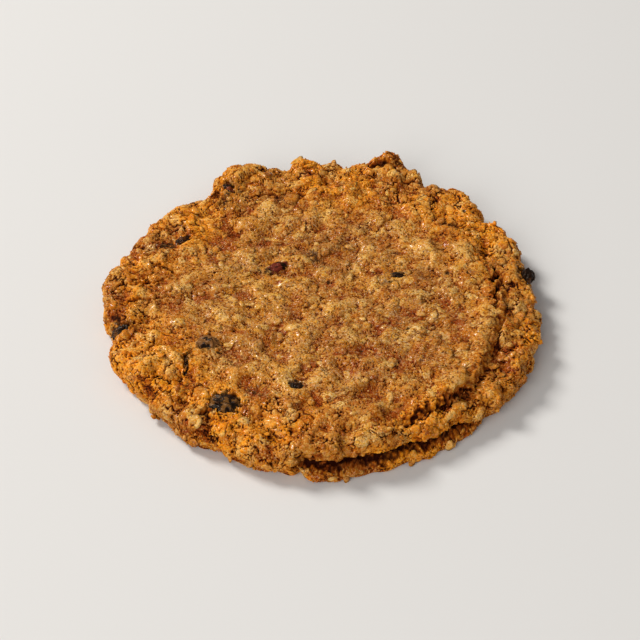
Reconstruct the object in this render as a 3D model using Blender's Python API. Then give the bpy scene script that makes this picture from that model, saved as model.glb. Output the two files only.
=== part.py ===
"""A large round oat and raisin cookie lying flat: one baked dough body with raisins seated in it.

Lengths are in millimetres until a mesh is made, and the finished objects stand in metres, +Z up.
The origin is under the middle of the cookie, on the surface that it lies on.
"""
import math

import bmesh
import bpy
import numpy as np
from mathutils import Euler, Matrix, Vector
from mathutils.bvhtree import BVHTree

MM = 0.001
SEED = 20

# The middle of the finished outline, from the centre that the shapes below are drawn about.
MIDDLE_OFFSET = (0.1, 1.8, 0.0)

# Driving dimensions of the dough.
RADIUS = 96.8
MIDDLE_HEIGHT = 14.6
MIDDLE_DISH = 1.1
SHELF_RADIUS = 75.0
SHELF_DROP = 0.9
OPEN_SHELF_DROP = 3.2
SHELF_SLOPE = 3.0
TOP_MARGIN = 4.2
RIM_SWELL = 1.05
MIDDLE_SWELL = 0.55
FOOT_HEIGHT = 4.6
SPLIT_HEIGHT = 6.4
LIP_HEIGHT = 8.6
LIP_SETBACK = 4.0
SPLIT_DEPTH = 3.6

# Lobes and notches of the outline: direction and half width in degrees, and how far out.
LOBES = {
    "back lump": (70.0, 7.5, 11.0),
    "back lump shoulder": (62.5, 2.5, 2.2),
    "back right notch": (57.8, 1.0, -3.2),
    "back right swell": (47.0, 9.0, 4.2),
    "right back notch": (36.0, 2.2, -3.4),
    "right back tip": (30.5, 2.5, 2.2),
    "right back swell": (22.0, 6.0, 3.2),
    "right swell": (352.0, 12.0, 1.9),
    "right front swell": (332.0, 7.0, 2.8),
    "front swell": (271.0, 6.5, 2.2),
    "front notch": (265.0, 1.2, -2.6),
    "front left dent": (242.5, 4.5, -2.6),
    "left front flat": (221.0, 11.0, -3.0),
    "left front corner": (203.0, 4.0, 1.0),
    "left notch": (193.0, 4.6, -3.8),
    "left swell": (177.0, 6.0, 1.4),
    "left back flat": (158.0, 6.0, -2.4),
    "left back notch": (150.5, 2.2, -3.4),
    "back left flat": (135.0, 10.0, -3.6),
    "back left notch": (128.0, 2.6, -2.8),
    "back left shoulder": (114.5, 6.0, 7.0),
    "back left crest": (106.0, 3.5, 2.8),
    "back swell": (94.5, 3.6, 4.6),
    "back middle crest": (85.5, 2.6, 2.4),
}

# Fine waves around the outline: waves a turn, and how far out.
EDGE_WAVES = ((17, 0.35), (29, 0.40), (43, 0.35), (61, 0.30))

# Lumps of the top crust: x, y, half length, half width, turn in degrees, height.
LUMPS = {
    "back lump": (34.0, 97.0, 9.0, 8.0, 0.0, 3.8),
    "back left lump": (-38.0, 84.0, 12.0, 9.0, 20.0, 2.6),
    "back middle lump": (-6.0, 93.0, 7.0, 7.0, 0.0, 1.8),
    "back ridge": (16.0, 79.0, 22.0, 5.0, 0.0, 1.4),
    "left front clump": (-70.0, -43.0, 13.0, 6.5, 8.0, 2.6),
    "left ridge": (-60.0, 33.0, 10.0, 4.0, 52.0, 2.0),
    "left back clump": (-62.0, 52.0, 9.0, 7.0, 40.0, 1.8),
    "left clump": (-71.0, 25.0, 5.0, 5.0, 0.0, 1.8),
    "right clump": (76.5, -20.0, 6.5, 9.0, 0.0, 2.6),
    "right yellow lump": (65.0, 32.0, 6.0, 9.0, 0.0, 1.8),
    "back right patch": (50.0, 57.0, 11.0, 9.0, 10.0, 1.2),
    "back right lump": (65.0, 66.0, 8.0, 7.0, -30.0, 1.4),
    "front right ridge": (57.0, -56.0, 20.0, 5.0, 50.0, 1.9),
    "front ridge": (15.0, -86.0, 24.0, 5.0, 4.0, 1.6),
    "front left lump": (-30.0, -88.0, 9.0, 5.0, -18.0, 1.2),
    "left rim lump": (-86.0, 6.0, 6.0, 12.0, -6.0, 1.2),
    "right rim lump": (88.0, -38.0, 5.0, 14.0, -12.0, 1.4),
    "middle swell": (-45.0, -8.0, 16.0, 12.0, 0.0, 0.8),
}

# Cracks and creases of the top crust: x and y of both ends, half width, depth.
CRACKS = {
    "right": (81.0, 26.0, 79.0, -10.0, 1.9, 4.2),
    "right front": (79.0, -30.0, 70.0, -46.0, 2.4, 2.6),
    "front right": (63.0, -57.0, 49.0, -68.0, 1.9, 3.6),
    "front right tail": (46.0, -69.0, 36.0, -77.0, 1.6, 2.4),
    "front inner": (50.0, -50.0, 28.0, -57.0, 2.0, 1.8),
    "front inner tail": (26.0, -60.0, -6.0, -68.0, 2.2, 1.6),
    "back left": (-47.0, 80.0, -45.5, 66.0, 2.2, 3.0),
    "back left tail": (-44.5, 62.0, -41.0, 46.0, 1.9, 2.2),
    "back": (-31.0, 71.5, -6.0, 72.0, 1.6, 2.0),
    "left": (-74.0, 21.0, -68.0, 16.0, 1.3, 2.4),
    "left front": (-57.0, -35.0, -58.0, -50.0, 1.4, 2.6),
    "left front rim": (-76.0, -52.0, -69.0, -61.0, 2.0, 2.6),
    "front left rim": (-47.0, -72.0, -46.0, -86.0, 2.0, 2.6),
    "rim left": (-92.0, -13.0, -86.0, -19.0, 2.0, 2.6),
    "back lump foot": (27.0, 94.0, 36.0, 93.0, 2.0, 2.6),
}

# Raisins: place and height of the middle, half sizes, then tilt about x, about y and turn in degrees.
RAISINS = {
    "front_left": ((-40.0, -67.0, 13.0), (7.0, 5.8, 3.4), (8.0, 0.0, -12.0)),
    "left_edge": ((-87.5, -20.5, 10.6), (4.8, 3.6, 3.0), (20.0, -30.0, 30.0)),
    "back_left": ((-43.6, 76.0, 13.6), (5.4, 2.7, 2.8), (35.0, 0.0, -62.0)),
    "left_hollow": ((-63.0, 37.5, 13.8), (4.4, 3.2, 2.8), (10.0, 15.0, 40.0)),
    "front_middle": ((-10.2, -56.8, 13.2), (4.2, 3.0, 2.6), (0.0, 8.0, -40.0)),
    "middle_left": ((-49.5, -31.5, 14.6), (5.4, 4.4, 2.6), (5.0, -6.0, 10.0)),
    "left_clump": ((-57.4, -42.5, 12.8), (7.4, 1.9, 2.6), (0.0, 0.0, 88.0)),
    "middle_right": ((35.6, 13.4, 13.6), (4.3, 2.7, 2.5), (0.0, 5.0, 10.0)),
    "right_edge": ((95.2, 17.6, 10.4), (3.5, 4.2, 2.9), (10.0, 30.0, 8.0)),
    "middle_red": ((-19.5, 20.0, 13.2), (5.2, 3.1, 2.5), (0.0, -6.0, 22.0)),
}
RAISIN_SEAT = 0.3
RAISIN_STEPS = (12, 7)

# Large flakes and crumbs that stand out: x, y, length, width, thickness, turn in degrees, tilt.
NAMED_FLAKES = (
    (47.5, -60.5, 7.2, 5.6, 1.8, 80.0, 6.0),
    (12.0, 91.0, 6.0, 4.0, 2.0, 10.0, 12.0),
    (34.5, 87.0, 7.0, 5.0, 2.2, 70.0, 14.0),
    (48.0, 67.0, 6.5, 3.4, 1.8, 30.0, 12.0),
    (-13.0, -21.0, 7.0, 4.6, 2.0, -8.0, 8.0),
    (-21.0, -1.0, 7.5, 5.4, 2.2, 0.0, 8.0),
    (-25.0, -20.0, 5.5, 4.2, 1.8, 20.0, 8.0),
    (-56.5, 22.5, 4.2, 4.0, 1.8, 0.0, 8.0),
    (-31.5, -77.0, 5.2, 4.2, 2.0, 0.0, 12.0),
    (-53.0, -74.0, 8.0, 4.2, 2.2, -55.0, 16.0),
    (-24.5, 62.0, 10.0, 6.5, 2.4, 75.0, 10.0),
    (57.0, -61.0, 7.5, 5.0, 2.2, 25.0, 14.0),
    (61.0, -64.0, 7.0, 4.4, 2.2, -15.0, 14.0),
    (21.0, -82.0, 9.0, 6.0, 2.6, 40.0, 12.0),
    (4.0, -63.5, 6.0, 4.4, 2.2, 20.0, 8.0),
    (-2.5, -54.0, 6.5, 5.0, 2.2, 0.0, 8.0),
    (26.5, -84.0, 8.5, 4.4, 2.2, 22.0, 20.0),
    (-73.0, -26.0, 7.0, 6.0, 2.4, 60.0, 12.0),
    (-50.0, -75.5, 8.0, 6.0, 2.8, 20.0, 20.0),
    (45.0, -23.0, 8.0, 2.8, 1.6, -15.0, 6.0),
    (38.0, -32.5, 5.5, 3.8, 2.0, 50.0, 8.0),
    (-62.5, -18.5, 6.0, 5.0, 2.0, 60.0, 10.0),
    (89.0, -6.0, 8.0, 7.0, 2.8, 70.0, 14.0),
)

# Scattered flakes, largest first: how many, length range, thickness range, closest spacing.
FLAKE_BATCHES = (
    (22, (6.4, 8.6), (2.4, 3.0), 11.0),
    (26, (4.8, 6.4), (2.0, 2.6), 8.0),
)
FLAKE_SIDES = 7
FLAKE_FLOOR = 2.6

GRID_CELLS = 40


def smooth_step(value):
    """Zero below 0 and one above 1, with a level start and end between."""
    t = np.clip(value, 0.0, 1.0)
    return t * t * (3.0 - 2.0 * t)


def turn_between(angle, middle):
    """Angle minus middle in degrees, wrapped into -180 to 180."""
    return (angle - middle + 180.0) % 360.0 - 180.0


def outline(angle):
    """Radius of the outline in a direction in degrees: a circle, its lobes and fine waves."""
    radius = np.full_like(angle, RADIUS)
    for middle, spread, out in LOBES.values():
        radius += out * np.exp(-(turn_between(angle, middle) / spread) ** 2)
    for turns, out in EDGE_WAVES:
        radius += out * np.sin(np.radians(angle) * turns + 0.7 * turns)
    return radius


def split_share(angle):
    """One along the front right side, where the crust has split from the foot, and zero elsewhere."""
    start = smooth_step((turn_between(angle, -98.0)) / 6.0)
    end = smooth_step((turn_between(-42.0, angle)) / 10.0)
    return start * end


def open_share(angle):
    """One along the right side, where the middle stands clear of the rim, and zero elsewhere."""
    start = smooth_step(turn_between(angle, -72.0) / 12.0)
    end = smooth_step(turn_between(30.0, angle) / 10.0)
    return start * end


def shelf_radius(angle):
    """Radius of the edge of the flatter middle, wider towards the front right."""
    wider = 5.0 * np.exp(-(turn_between(angle, 0.0) / 30.0) ** 2)
    widest = 8.5 * np.exp(-(turn_between(angle, -55.0) / 26.0) ** 2)
    return SHELF_RADIUS + wider + widest + 1.2 * np.sin(np.radians(angle) * 9.0 + 1.0)


def segment_distance(x, y, ax, ay, bx, by):
    """Distance from points to a straight line between two ends."""
    run_x, run_y = bx - ax, by - ay
    t = np.clip(((x - ax) * run_x + (y - ay) * run_y) / (run_x ** 2 + run_y ** 2), 0.0, 1.0)
    return np.hypot(x - ax - t * run_x, y - ay - t * run_y)


def uneven_swells():
    """Low seeded swells over the whole top: places, spreads and heights."""
    rng = np.random.default_rng(SEED)
    count = 260
    angle = rng.uniform(0.0, 2.0 * math.pi, count)
    radius = RADIUS * np.sqrt(rng.uniform(0.0, 1.0, count))
    on_rim = radius > SHELF_RADIUS
    spread = rng.uniform(3.0, 6.5, count)
    height = rng.normal(0.0, 1.0, count) * np.where(on_rim, RIM_SWELL, MIDDLE_SWELL)
    return radius * np.cos(angle), radius * np.sin(angle), spread, height


def top_height(x, y):
    """Height of the top crust over a point of the plan."""
    angle = np.degrees(np.arctan2(y, x))
    radius = np.hypot(x, y)
    shelf = shelf_radius(angle)
    height = MIDDLE_HEIGHT + MIDDLE_DISH * np.clip(radius / shelf, 0.0, 1.0) ** 2
    drop = SHELF_DROP + (OPEN_SHELF_DROP - SHELF_DROP) * open_share(angle)
    height -= drop * smooth_step((radius - shelf) / SHELF_SLOPE)
    for cx, cy, length, width, turn, rise in LUMPS.values():
        c, s = math.cos(math.radians(turn)), math.sin(math.radians(turn))
        along = ((x - cx) * c + (y - cy) * s) / length
        across = ((y - cy) * c - (x - cx) * s) / width
        height += rise * np.exp(-along ** 2 - across ** 2)
    for ax, ay, bx, by, half_width, depth in CRACKS.values():
        height -= depth * np.exp(-(segment_distance(x, y, ax, ay, bx, by) / half_width) ** 2)
    for cx, cy, spread, rise in zip(*uneven_swells()):
        height += rise * np.exp(-((x - cx) ** 2 + (y - cy) ** 2) / spread ** 2)
    return height


def disc_grid(cells):
    """A square grid bent into a unit disc, ring for ring, with even cells: radii and angles."""
    line = np.linspace(-1.0, 1.0, cells + 1)
    u, v = np.meshgrid(line, line, indexing="ij")
    wide = np.abs(u) > np.abs(v)
    u_safe = np.where(wide, u, 1.0)
    v_safe = np.where(wide | (v == 0.0), 1.0, v)
    radius = np.where(wide, u, v)
    angle = np.where(wide, 45.0 * v / u_safe, 90.0 - 45.0 * u / v_safe)
    return np.abs(radius), angle + np.where(radius < 0.0, 180.0, 0.0)


def dough_points(cells):
    """Points of the top as a grid, and of the side as rings from the top's border to the foot."""
    share, angle = disc_grid(cells)
    edge = outline(angle) - TOP_MARGIN - LIP_SETBACK * split_share(angle)
    x = share * edge * np.cos(np.radians(angle))
    y = share * edge * np.sin(np.radians(angle))
    top = np.stack([x, y, top_height(x, y)], -1)

    walk = [(i, 0) for i in range(cells)] + [(cells, i) for i in range(cells)]
    walk += [(cells - i, cells) for i in range(cells)] + [(0, cells - i) for i in range(cells)]
    rows, columns = np.array(walk).T
    side_angle = angle[rows, columns]
    border = top[rows, columns, 2]
    split = split_share(side_angle)
    back = LIP_SETBACK * split
    whole = 1.0 - split
    waist = 0.52 * border * whole + LIP_HEIGHT * split
    rings = (
        (1.7 + back, border - 1.3),
        (0.4 + back, border - 3.3),
        (0.0 + back, waist),
        (0.3 + back + SPLIT_DEPTH * split, 0.36 * border * whole + SPLIT_HEIGHT * split),
        (0.9 * whole + 0.3 * split, 3.0 * whole + FOOT_HEIGHT * split),
        (1.8 * whole + 0.2 * split, np.full_like(border, 1.3)),
        (3.2 * whole + 1.6 * split, np.zeros_like(border)),
    )
    side = []
    for inset, height in rings:
        radius = outline(side_angle) - inset
        turn = np.radians(side_angle)
        side.append(np.stack([radius * np.cos(turn), radius * np.sin(turn), height], -1))
    return top, (rows, columns), side


def dough_mesh(cells):
    """The plain dough body as a closed mesh in millimetres."""
    top, border, side = dough_points(cells)
    bm = bmesh.new()
    grid = [[bm.verts.new(p) for p in row] for row in top]
    for i in range(cells):
        for j in range(cells):
            bm.faces.new((grid[i][j], grid[i + 1][j], grid[i + 1][j + 1], grid[i][j + 1]))
    upper = [grid[i][j] for i, j in zip(*border)]
    for ring in side:
        lower = [bm.verts.new(p) for p in ring]
        for k in range(len(upper)):
            n = (k + 1) % len(upper)
            bm.faces.new((upper[k], lower[k], lower[n], upper[n]))
        upper = lower
    bm.faces.new(list(reversed(upper)))
    bmesh.ops.triangulate(bm, faces=[f for f in bm.faces if len(f.verts) == 4])
    bmesh.ops.recalc_face_normals(bm, faces=bm.faces)
    return bm


def material(name, colour, roughness):
    """A Principled material of one plain colour."""
    mat = bpy.data.materials.new(name)
    mat.use_nodes = True
    shader = mat.node_tree.nodes["Principled BSDF"]
    shader.inputs["Base Color"].default_value = (*colour, 1.0)
    shader.inputs["Roughness"].default_value = roughness
    shader.inputs["Metallic"].default_value = 0.0
    mat.diffuse_color = (*colour, 1.0)
    return mat


def add_object(name, bm, collection, mat=None):
    """An object in metres, over the origin, from a mesh in millimetres about the drawing's centre."""
    bmesh.ops.translate(bm, vec=-Vector(MIDDLE_OFFSET), verts=bm.verts)
    bmesh.ops.scale(bm, vec=(MM, MM, MM), verts=bm.verts)
    mesh = bpy.data.meshes.new(name)
    bm.to_mesh(mesh)
    bm.free()
    mesh.shade_smooth()
    mesh.set_sharp_from_angle(angle=math.radians(50.0))
    if mat:
        mesh.materials.append(mat)
    piece = bpy.data.objects.new(name, mesh)
    collection.objects.link(piece)
    return piece


def flake_mesh(length, width, thick, seed):
    """A rolled flake: an uneven seven-sided lens with a domed top and a narrower flat underside."""
    rng = np.random.default_rng(seed)
    turns = np.arange(FLAKE_SIDES) * 2.0 * math.pi / FLAKE_SIDES
    reach = rng.uniform(0.86, 1.08, FLAKE_SIDES)
    lift = rng.uniform(-0.12, 0.12, FLAKE_SIDES)
    bm = bmesh.new()
    peak = bm.verts.new((rng.uniform(-0.1, 0.1) * length, rng.uniform(-0.1, 0.1) * width, 0.46 * thick))
    rim, foot = [], []
    for turn, out, up in zip(turns, reach, lift):
        x, y = 0.5 * length * out * math.cos(turn), 0.5 * width * out * math.sin(turn)
        rim.append(bm.verts.new((x, y, (0.16 + up) * thick)))
        foot.append(bm.verts.new((0.8 * x, 0.8 * y, -0.55 * thick)))
    for k in range(FLAKE_SIDES):
        n = (k + 1) % FLAKE_SIDES
        bm.faces.new((peak, rim[k], rim[n]))
        bm.faces.new((rim[k], foot[k], foot[n], rim[n]))
    bm.faces.new(list(reversed(foot)))
    bmesh.ops.recalc_face_normals(bm, faces=bm.faces)
    return bm


def place_flake(number, at, normal, size, turn, tilt, collection):
    """One flake laid on the dough at a point, along the surface there, turned and tilted."""
    length, width, thick = size
    bm = flake_mesh(length, width, thick, SEED + number)
    lay = Vector(normal).to_track_quat("Z", "Y").to_matrix().to_4x4()
    lean = Euler((math.radians(tilt), 0.0, math.radians(turn)), "XYZ").to_matrix().to_4x4()
    bmesh.ops.transform(bm, matrix=Matrix.Translation(at) @ lay @ lean, verts=bm.verts)
    return add_object(f"flake_{number:03d}", bm, collection)


def near_raisin(at, reach):
    """Whether a flake at a point would cover a raisin."""
    for middle, half, _ in RAISINS.values():
        if math.dist(at[:2], middle[:2]) < max(half) + reach:
            return True
    return False


def add_flakes(bm, collection):
    """The named flakes, then seeded batches over the top and the side, largest first."""
    tree = BVHTree.FromBMesh(bm)
    number = 0
    taken = []
    for x, y, length, width, thick, turn, tilt in NAMED_FLAKES:
        at, normal, _, _ = tree.ray_cast(Vector((x, y, 60.0)), Vector((0.0, 0.0, -1.0)))
        place_flake(number, at, normal, (length, width, thick), turn, tilt, collection)
        taken.append((at, length))
        number += 1
    rng = np.random.default_rng(SEED)
    faces = [f for f in bm.faces if len(f.verts) == 3]
    areas = np.array([f.calc_area() * (1.5 if f.calc_center_median().to_2d().length > 72.0 else 1.0)
                      for f in faces])
    chance = areas / areas.sum()
    for count, lengths, thicks, spacing in FLAKE_BATCHES:
        left = count
        while left:
            face = faces[rng.choice(len(faces), p=chance)]
            at = face.calc_center_median()
            length = rng.uniform(*lengths)
            width = length * rng.uniform(0.65, 0.9)
            thick = rng.uniform(*thicks)
            turn, tilt = rng.uniform(0.0, 360.0), rng.uniform(4.0, 20.0)
            clear = all((at - other).length > spacing for other, _ in taken)
            if at.z < FLAKE_FLOOR + 0.5 * length or not clear or near_raisin(at, 0.5 * length):
                continue
            place_flake(number, at, face.normal, (length, width, thick), turn, tilt, collection)
            taken.append((at, length))
            number += 1
            left -= 1


def raisin_mesh(middle, half, angles, grow, seed):
    """A wrinkled raisin: a flattened ball with folds along it, all its points moved out by grow."""
    rng = np.random.default_rng(seed)
    around, along = RAISIN_STEPS
    phase = rng.uniform(0.0, 2.0 * math.pi, 3)
    lay = Matrix.Translation(middle) @ Euler([math.radians(a) for a in angles], "XYZ").to_matrix().to_4x4()
    a, b, c = (h + grow for h in half)
    bm = bmesh.new()

    def point(turn, rise):
        fold = 1.0 + 0.09 * math.sin(3.0 * turn + phase[0]) * math.cos(rise)
        fold += 0.07 * math.sin(5.0 * turn + 2.0 * rise + phase[1]) * math.cos(rise)
        fold += 0.05 * math.sin(4.0 * rise + phase[2])
        flat = math.cos(rise) * fold
        return (a * math.sin(rise), b * flat * math.cos(turn), c * flat * math.sin(turn))

    ends = [bm.verts.new(point(0.0, s * math.pi / 2.0)) for s in (-1.0, 1.0)]
    rows = []
    for k in range(1, along + 1):
        rise = -math.pi / 2.0 + math.pi * k / (along + 1)
        rows.append([bm.verts.new(point(2.0 * math.pi * t / around, rise)) for t in range(around)])
    for t in range(around):
        n = (t + 1) % around
        bm.faces.new((ends[0], rows[0][t], rows[0][n]))
        bm.faces.new((ends[1], rows[-1][n], rows[-1][t]))
        for low, high in zip(rows, rows[1:]):
            bm.faces.new((low[t], high[t], high[n], low[n]))
    bmesh.ops.triangulate(bm, faces=[f for f in bm.faces if len(f.verts) == 4])
    bmesh.ops.recalc_face_normals(bm, faces=bm.faces)
    bmesh.ops.transform(bm, matrix=lay, verts=bm.verts)
    return bm


def apply_boolean(piece, operation, collection):
    """Joins a collection's solids to a piece or cuts them from it, then removes them."""
    step = piece.modifiers.new(operation.lower(), "BOOLEAN")
    step.operation = operation
    step.operand_type = "COLLECTION"
    step.collection = collection
    step.solver = "EXACT"
    depsgraph = bpy.context.evaluated_depsgraph_get()
    mesh = bpy.data.meshes.new_from_object(piece.evaluated_get(depsgraph))
    piece.modifiers.clear()
    piece.data = mesh
    for cutter in list(collection.objects):
        bpy.data.objects.remove(cutter)
    bpy.data.collections.remove(collection)


def keep_outer_body(piece):
    """Drops sealed hollows and loose scraps: only the body with the most faces stays."""
    bm = bmesh.new()
    bm.from_mesh(piece.data)
    left = set(bm.faces)
    bodies = []
    while left:
        seed = left.pop()
        body, front = {seed}, [seed]
        while front:
            face = front.pop()
            for edge in face.edges:
                for other in edge.link_faces:
                    if other in left:
                        left.remove(other)
                        body.add(other)
                        front.append(other)
        bodies.append(body)
    bodies.sort(key=len)
    scraps = [face for body in bodies[:-1] for face in body]
    bmesh.ops.delete(bm, geom=scraps, context="FACES")
    loose = [v for v in bm.verts if not v.link_faces]
    bmesh.ops.delete(bm, geom=loose, context="VERTS")
    bmesh.ops.dissolve_degenerate(bm, dist=0.00001, edges=bm.edges)
    bmesh.ops.triangulate(bm, faces=bm.faces)
    bm.to_mesh(piece.data)
    bm.free()


def new_collection(name):
    """A collection that holds solids until they are joined or cut away."""
    collection = bpy.data.collections.new(name)
    bpy.context.scene.collection.children.link(collection)
    return collection


def build_cookie():
    """The dough body: its plain form, its flakes joined on and its raisin seats cut out."""
    dough = material("baked_dough", (0.42, 0.19, 0.05), 0.75)
    bm = dough_mesh(GRID_CELLS)
    flakes = new_collection("flakes")
    add_flakes(bm, flakes)
    cookie = add_object("cookie", bm, bpy.context.scene.collection, dough)
    apply_boolean(cookie, "UNION", flakes)
    seats = new_collection("seats")
    for number, (name, (middle, half, angles)) in enumerate(RAISINS.items()):
        add_object(f"seat_{name}", raisin_mesh(middle, half, angles, RAISIN_SEAT, number), seats)
    apply_boolean(cookie, "DIFFERENCE", seats)
    keep_outer_body(cookie)


def build_raisins():
    """One raisin in each seat, clear of the dough all round."""
    for number, (name, (middle, half, angles)) in enumerate(RAISINS.items()):
        skin = material(f"raisin_{name}", (0.02, 0.012, 0.010), 0.4)
        bm = raisin_mesh(middle, half, angles, 0.0, number)
        add_object(f"raisin_{name}", bm, bpy.context.scene.collection, skin)


for old in list(bpy.data.objects):
    bpy.data.objects.remove(old)
build_cookie()
build_raisins()
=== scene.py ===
"""A large round oat and raisin cookie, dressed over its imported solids.

Lengths are in millimetres about the centre that the solids were drawn about, until a mesh is made.
"""
import math

import bpy
import numpy as np
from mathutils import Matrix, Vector


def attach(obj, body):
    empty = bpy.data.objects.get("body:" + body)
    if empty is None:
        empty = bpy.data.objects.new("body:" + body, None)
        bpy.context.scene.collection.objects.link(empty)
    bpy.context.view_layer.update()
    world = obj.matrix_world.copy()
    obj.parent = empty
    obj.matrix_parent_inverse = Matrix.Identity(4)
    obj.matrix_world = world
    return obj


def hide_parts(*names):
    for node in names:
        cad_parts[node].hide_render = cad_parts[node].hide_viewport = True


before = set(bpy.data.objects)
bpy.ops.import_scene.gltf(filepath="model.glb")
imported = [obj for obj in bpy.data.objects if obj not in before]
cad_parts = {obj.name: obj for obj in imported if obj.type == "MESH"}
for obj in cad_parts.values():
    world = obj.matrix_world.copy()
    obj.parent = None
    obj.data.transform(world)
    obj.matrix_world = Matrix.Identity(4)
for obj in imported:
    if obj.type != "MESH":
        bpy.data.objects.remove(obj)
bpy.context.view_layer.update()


# Camera.
# The photograph looks down on the cookie from the front, at 43 degrees, through a long lens. Its focal
# length is in pixels of a square frame, 640 wide.
MM = 0.001
MIDDLE_OFFSET = (0.1, 1.8, 0.0)
FOCAL_PIXELS = 1720.0
FRAME_PIXELS = 640
CAMERA_DISTANCE = 0.7818
CAMERA_ELEVATION = math.radians(43.1)

camera_data = bpy.data.cameras.new("camera")
camera_data.lens = camera_data.sensor_width * FOCAL_PIXELS / FRAME_PIXELS
camera = bpy.data.objects.new("camera", camera_data)
bpy.context.scene.collection.objects.link(camera)
back = Vector((0.0, -math.cos(CAMERA_ELEVATION), math.sin(CAMERA_ELEVATION)))
camera.location = -MM * Vector(MIDDLE_OFFSET) + CAMERA_DISTANCE * back
camera.rotation_mode = "QUATERNION"
camera.rotation_quaternion = (-back).to_track_quat("-Z", "Y")
bpy.context.scene.camera = camera


# The dough's form.
# One scoop of oat dough baked flat: a round slab with an uneven outline, a flatter middle that has
# sunk and cracked away from its rim, and a crust that split from the foot along the front right.
SEED = 20
RADIUS = 96.8
MIDDLE_HEIGHT = 14.6
MIDDLE_DISH = 1.1
SHELF_RADIUS = 75.0
SHELF_DROP = 0.9
OPEN_SHELF_DROP = 3.2
SHELF_SLOPE = 3.0
TOP_MARGIN = 4.2
RIM_SWELL = 1.05
MIDDLE_SWELL = 0.55
FOOT_HEIGHT = 4.6
SPLIT_HEIGHT = 6.4
LIP_HEIGHT = 8.6
LIP_SETBACK = 4.0
SPLIT_DEPTH = 3.6
SIDE_LENGTH = 17.0
SPLIT_SIDE_LENGTH = 6.0

# Lobes and notches of the outline: direction and half width in degrees, and how far out.
LOBES = {
    "back lump": (70.0, 7.5, 11.0),
    "back lump shoulder": (62.5, 2.5, 2.2),
    "back right notch": (57.8, 1.0, -3.2),
    "back right swell": (47.0, 9.0, 4.2),
    "right back notch": (36.0, 2.2, -3.4),
    "right back tip": (30.5, 2.5, 2.2),
    "right back swell": (22.0, 6.0, 3.2),
    "right swell": (352.0, 12.0, 1.9),
    "right front swell": (332.0, 7.0, 2.8),
    "front swell": (271.0, 6.5, 2.2),
    "front notch": (265.0, 1.2, -2.6),
    "front left dent": (242.5, 4.5, -2.6),
    "left front flat": (221.0, 11.0, -3.0),
    "left front corner": (203.0, 4.0, 1.0),
    "left notch": (193.0, 4.6, -3.8),
    "left swell": (177.0, 6.0, 1.4),
    "left back flat": (158.0, 6.0, -2.4),
    "left back notch": (150.5, 2.2, -3.4),
    "back left flat": (135.0, 10.0, -3.6),
    "back left notch": (128.0, 2.6, -2.8),
    "back left shoulder": (114.5, 6.0, 7.0),
    "back left crest": (106.0, 3.5, 2.8),
    "back swell": (94.5, 3.6, 4.6),
    "back middle crest": (85.5, 2.6, 2.4),
}

# Fine waves around the outline: waves a turn, and how far out.
EDGE_WAVES = ((17, 0.35), (29, 0.40), (43, 0.35), (61, 0.30))

# Lumps of the top crust: x, y, half length, half width, turn in degrees, height.
LUMPS = {
    "back lump": (34.0, 97.0, 9.0, 8.0, 0.0, 3.8),
    "back left lump": (-38.0, 84.0, 12.0, 9.0, 20.0, 2.6),
    "back middle lump": (-6.0, 93.0, 7.0, 7.0, 0.0, 1.8),
    "back ridge": (16.0, 79.0, 22.0, 5.0, 0.0, 1.4),
    "left front clump": (-70.0, -43.0, 13.0, 6.5, 8.0, 2.6),
    "left ridge": (-60.0, 33.0, 10.0, 4.0, 52.0, 2.0),
    "left back clump": (-62.0, 52.0, 9.0, 7.0, 40.0, 1.8),
    "left clump": (-71.0, 25.0, 5.0, 5.0, 0.0, 1.8),
    "right clump": (76.5, -20.0, 6.5, 9.0, 0.0, 2.6),
    "right yellow lump": (65.0, 32.0, 6.0, 9.0, 0.0, 1.8),
    "back right patch": (50.0, 57.0, 11.0, 9.0, 10.0, 1.2),
    "back right lump": (65.0, 66.0, 8.0, 7.0, -30.0, 1.4),
    "front right ridge": (57.0, -56.0, 20.0, 5.0, 50.0, 1.9),
    "front ridge": (15.0, -86.0, 24.0, 5.0, 4.0, 1.6),
    "front left lump": (-30.0, -88.0, 9.0, 5.0, -18.0, 1.2),
    "left rim lump": (-86.0, 6.0, 6.0, 12.0, -6.0, 1.2),
    "right rim lump": (88.0, -38.0, 5.0, 14.0, -12.0, 1.4),
    "middle swell": (-45.0, -8.0, 16.0, 12.0, 0.0, 0.8),
}

# Cracks and creases of the top crust: x and y of both ends, half width, depth.
CRACKS = {
    "right": (80.5, 24.0, 78.5, -8.0, 1.2, 3.4),
    "right front": (79.0, -30.0, 70.0, -46.0, 2.6, 0.8),
    "front right": (63.0, -57.0, 49.0, -68.0, 1.2, 2.0),
    "front right tail": (46.0, -69.0, 36.0, -77.0, 1.3, 2.0),
    "front inner": (50.0, -50.0, 28.0, -57.0, 2.6, 1.1),
    "front inner tail": (26.0, -60.0, -6.0, -68.0, 3.0, 1.0),
    "back left": (-49.0, 78.0, -46.5, 64.0, 2.4, 2.0),
    "back left tail": (-47.0, 60.0, -38.0, 44.0, 3.2, 1.2),
    "back": (-31.0, 71.5, -6.0, 72.0, 1.6, 2.0),
    "left": (-74.0, 21.0, -68.0, 16.0, 1.3, 2.4),
    "left rim back": (-86.0, 8.0, -70.0, 10.0, 1.2, 1.5),
    "left rim": (-88.0, -4.0, -66.0, -1.0, 1.0, 1.2),
    "left front": (-57.0, -37.0, -58.0, -49.0, 1.1, 1.6),
    "left front rim": (-76.0, -52.0, -69.0, -61.0, 2.0, 2.6),
    "front left rim": (-47.0, -72.0, -46.0, -86.0, 2.0, 2.6),
    "rim left": (-92.0, -13.0, -86.0, -19.0, 2.0, 2.6),
    "back lump foot": (27.0, 94.0, 36.0, 93.0, 2.0, 2.6),
}


def smooth_step(value):
    """Zero below 0 and one above 1, with a level start and end between."""
    t = np.clip(value, 0.0, 1.0)
    return t * t * (3.0 - 2.0 * t)


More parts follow.
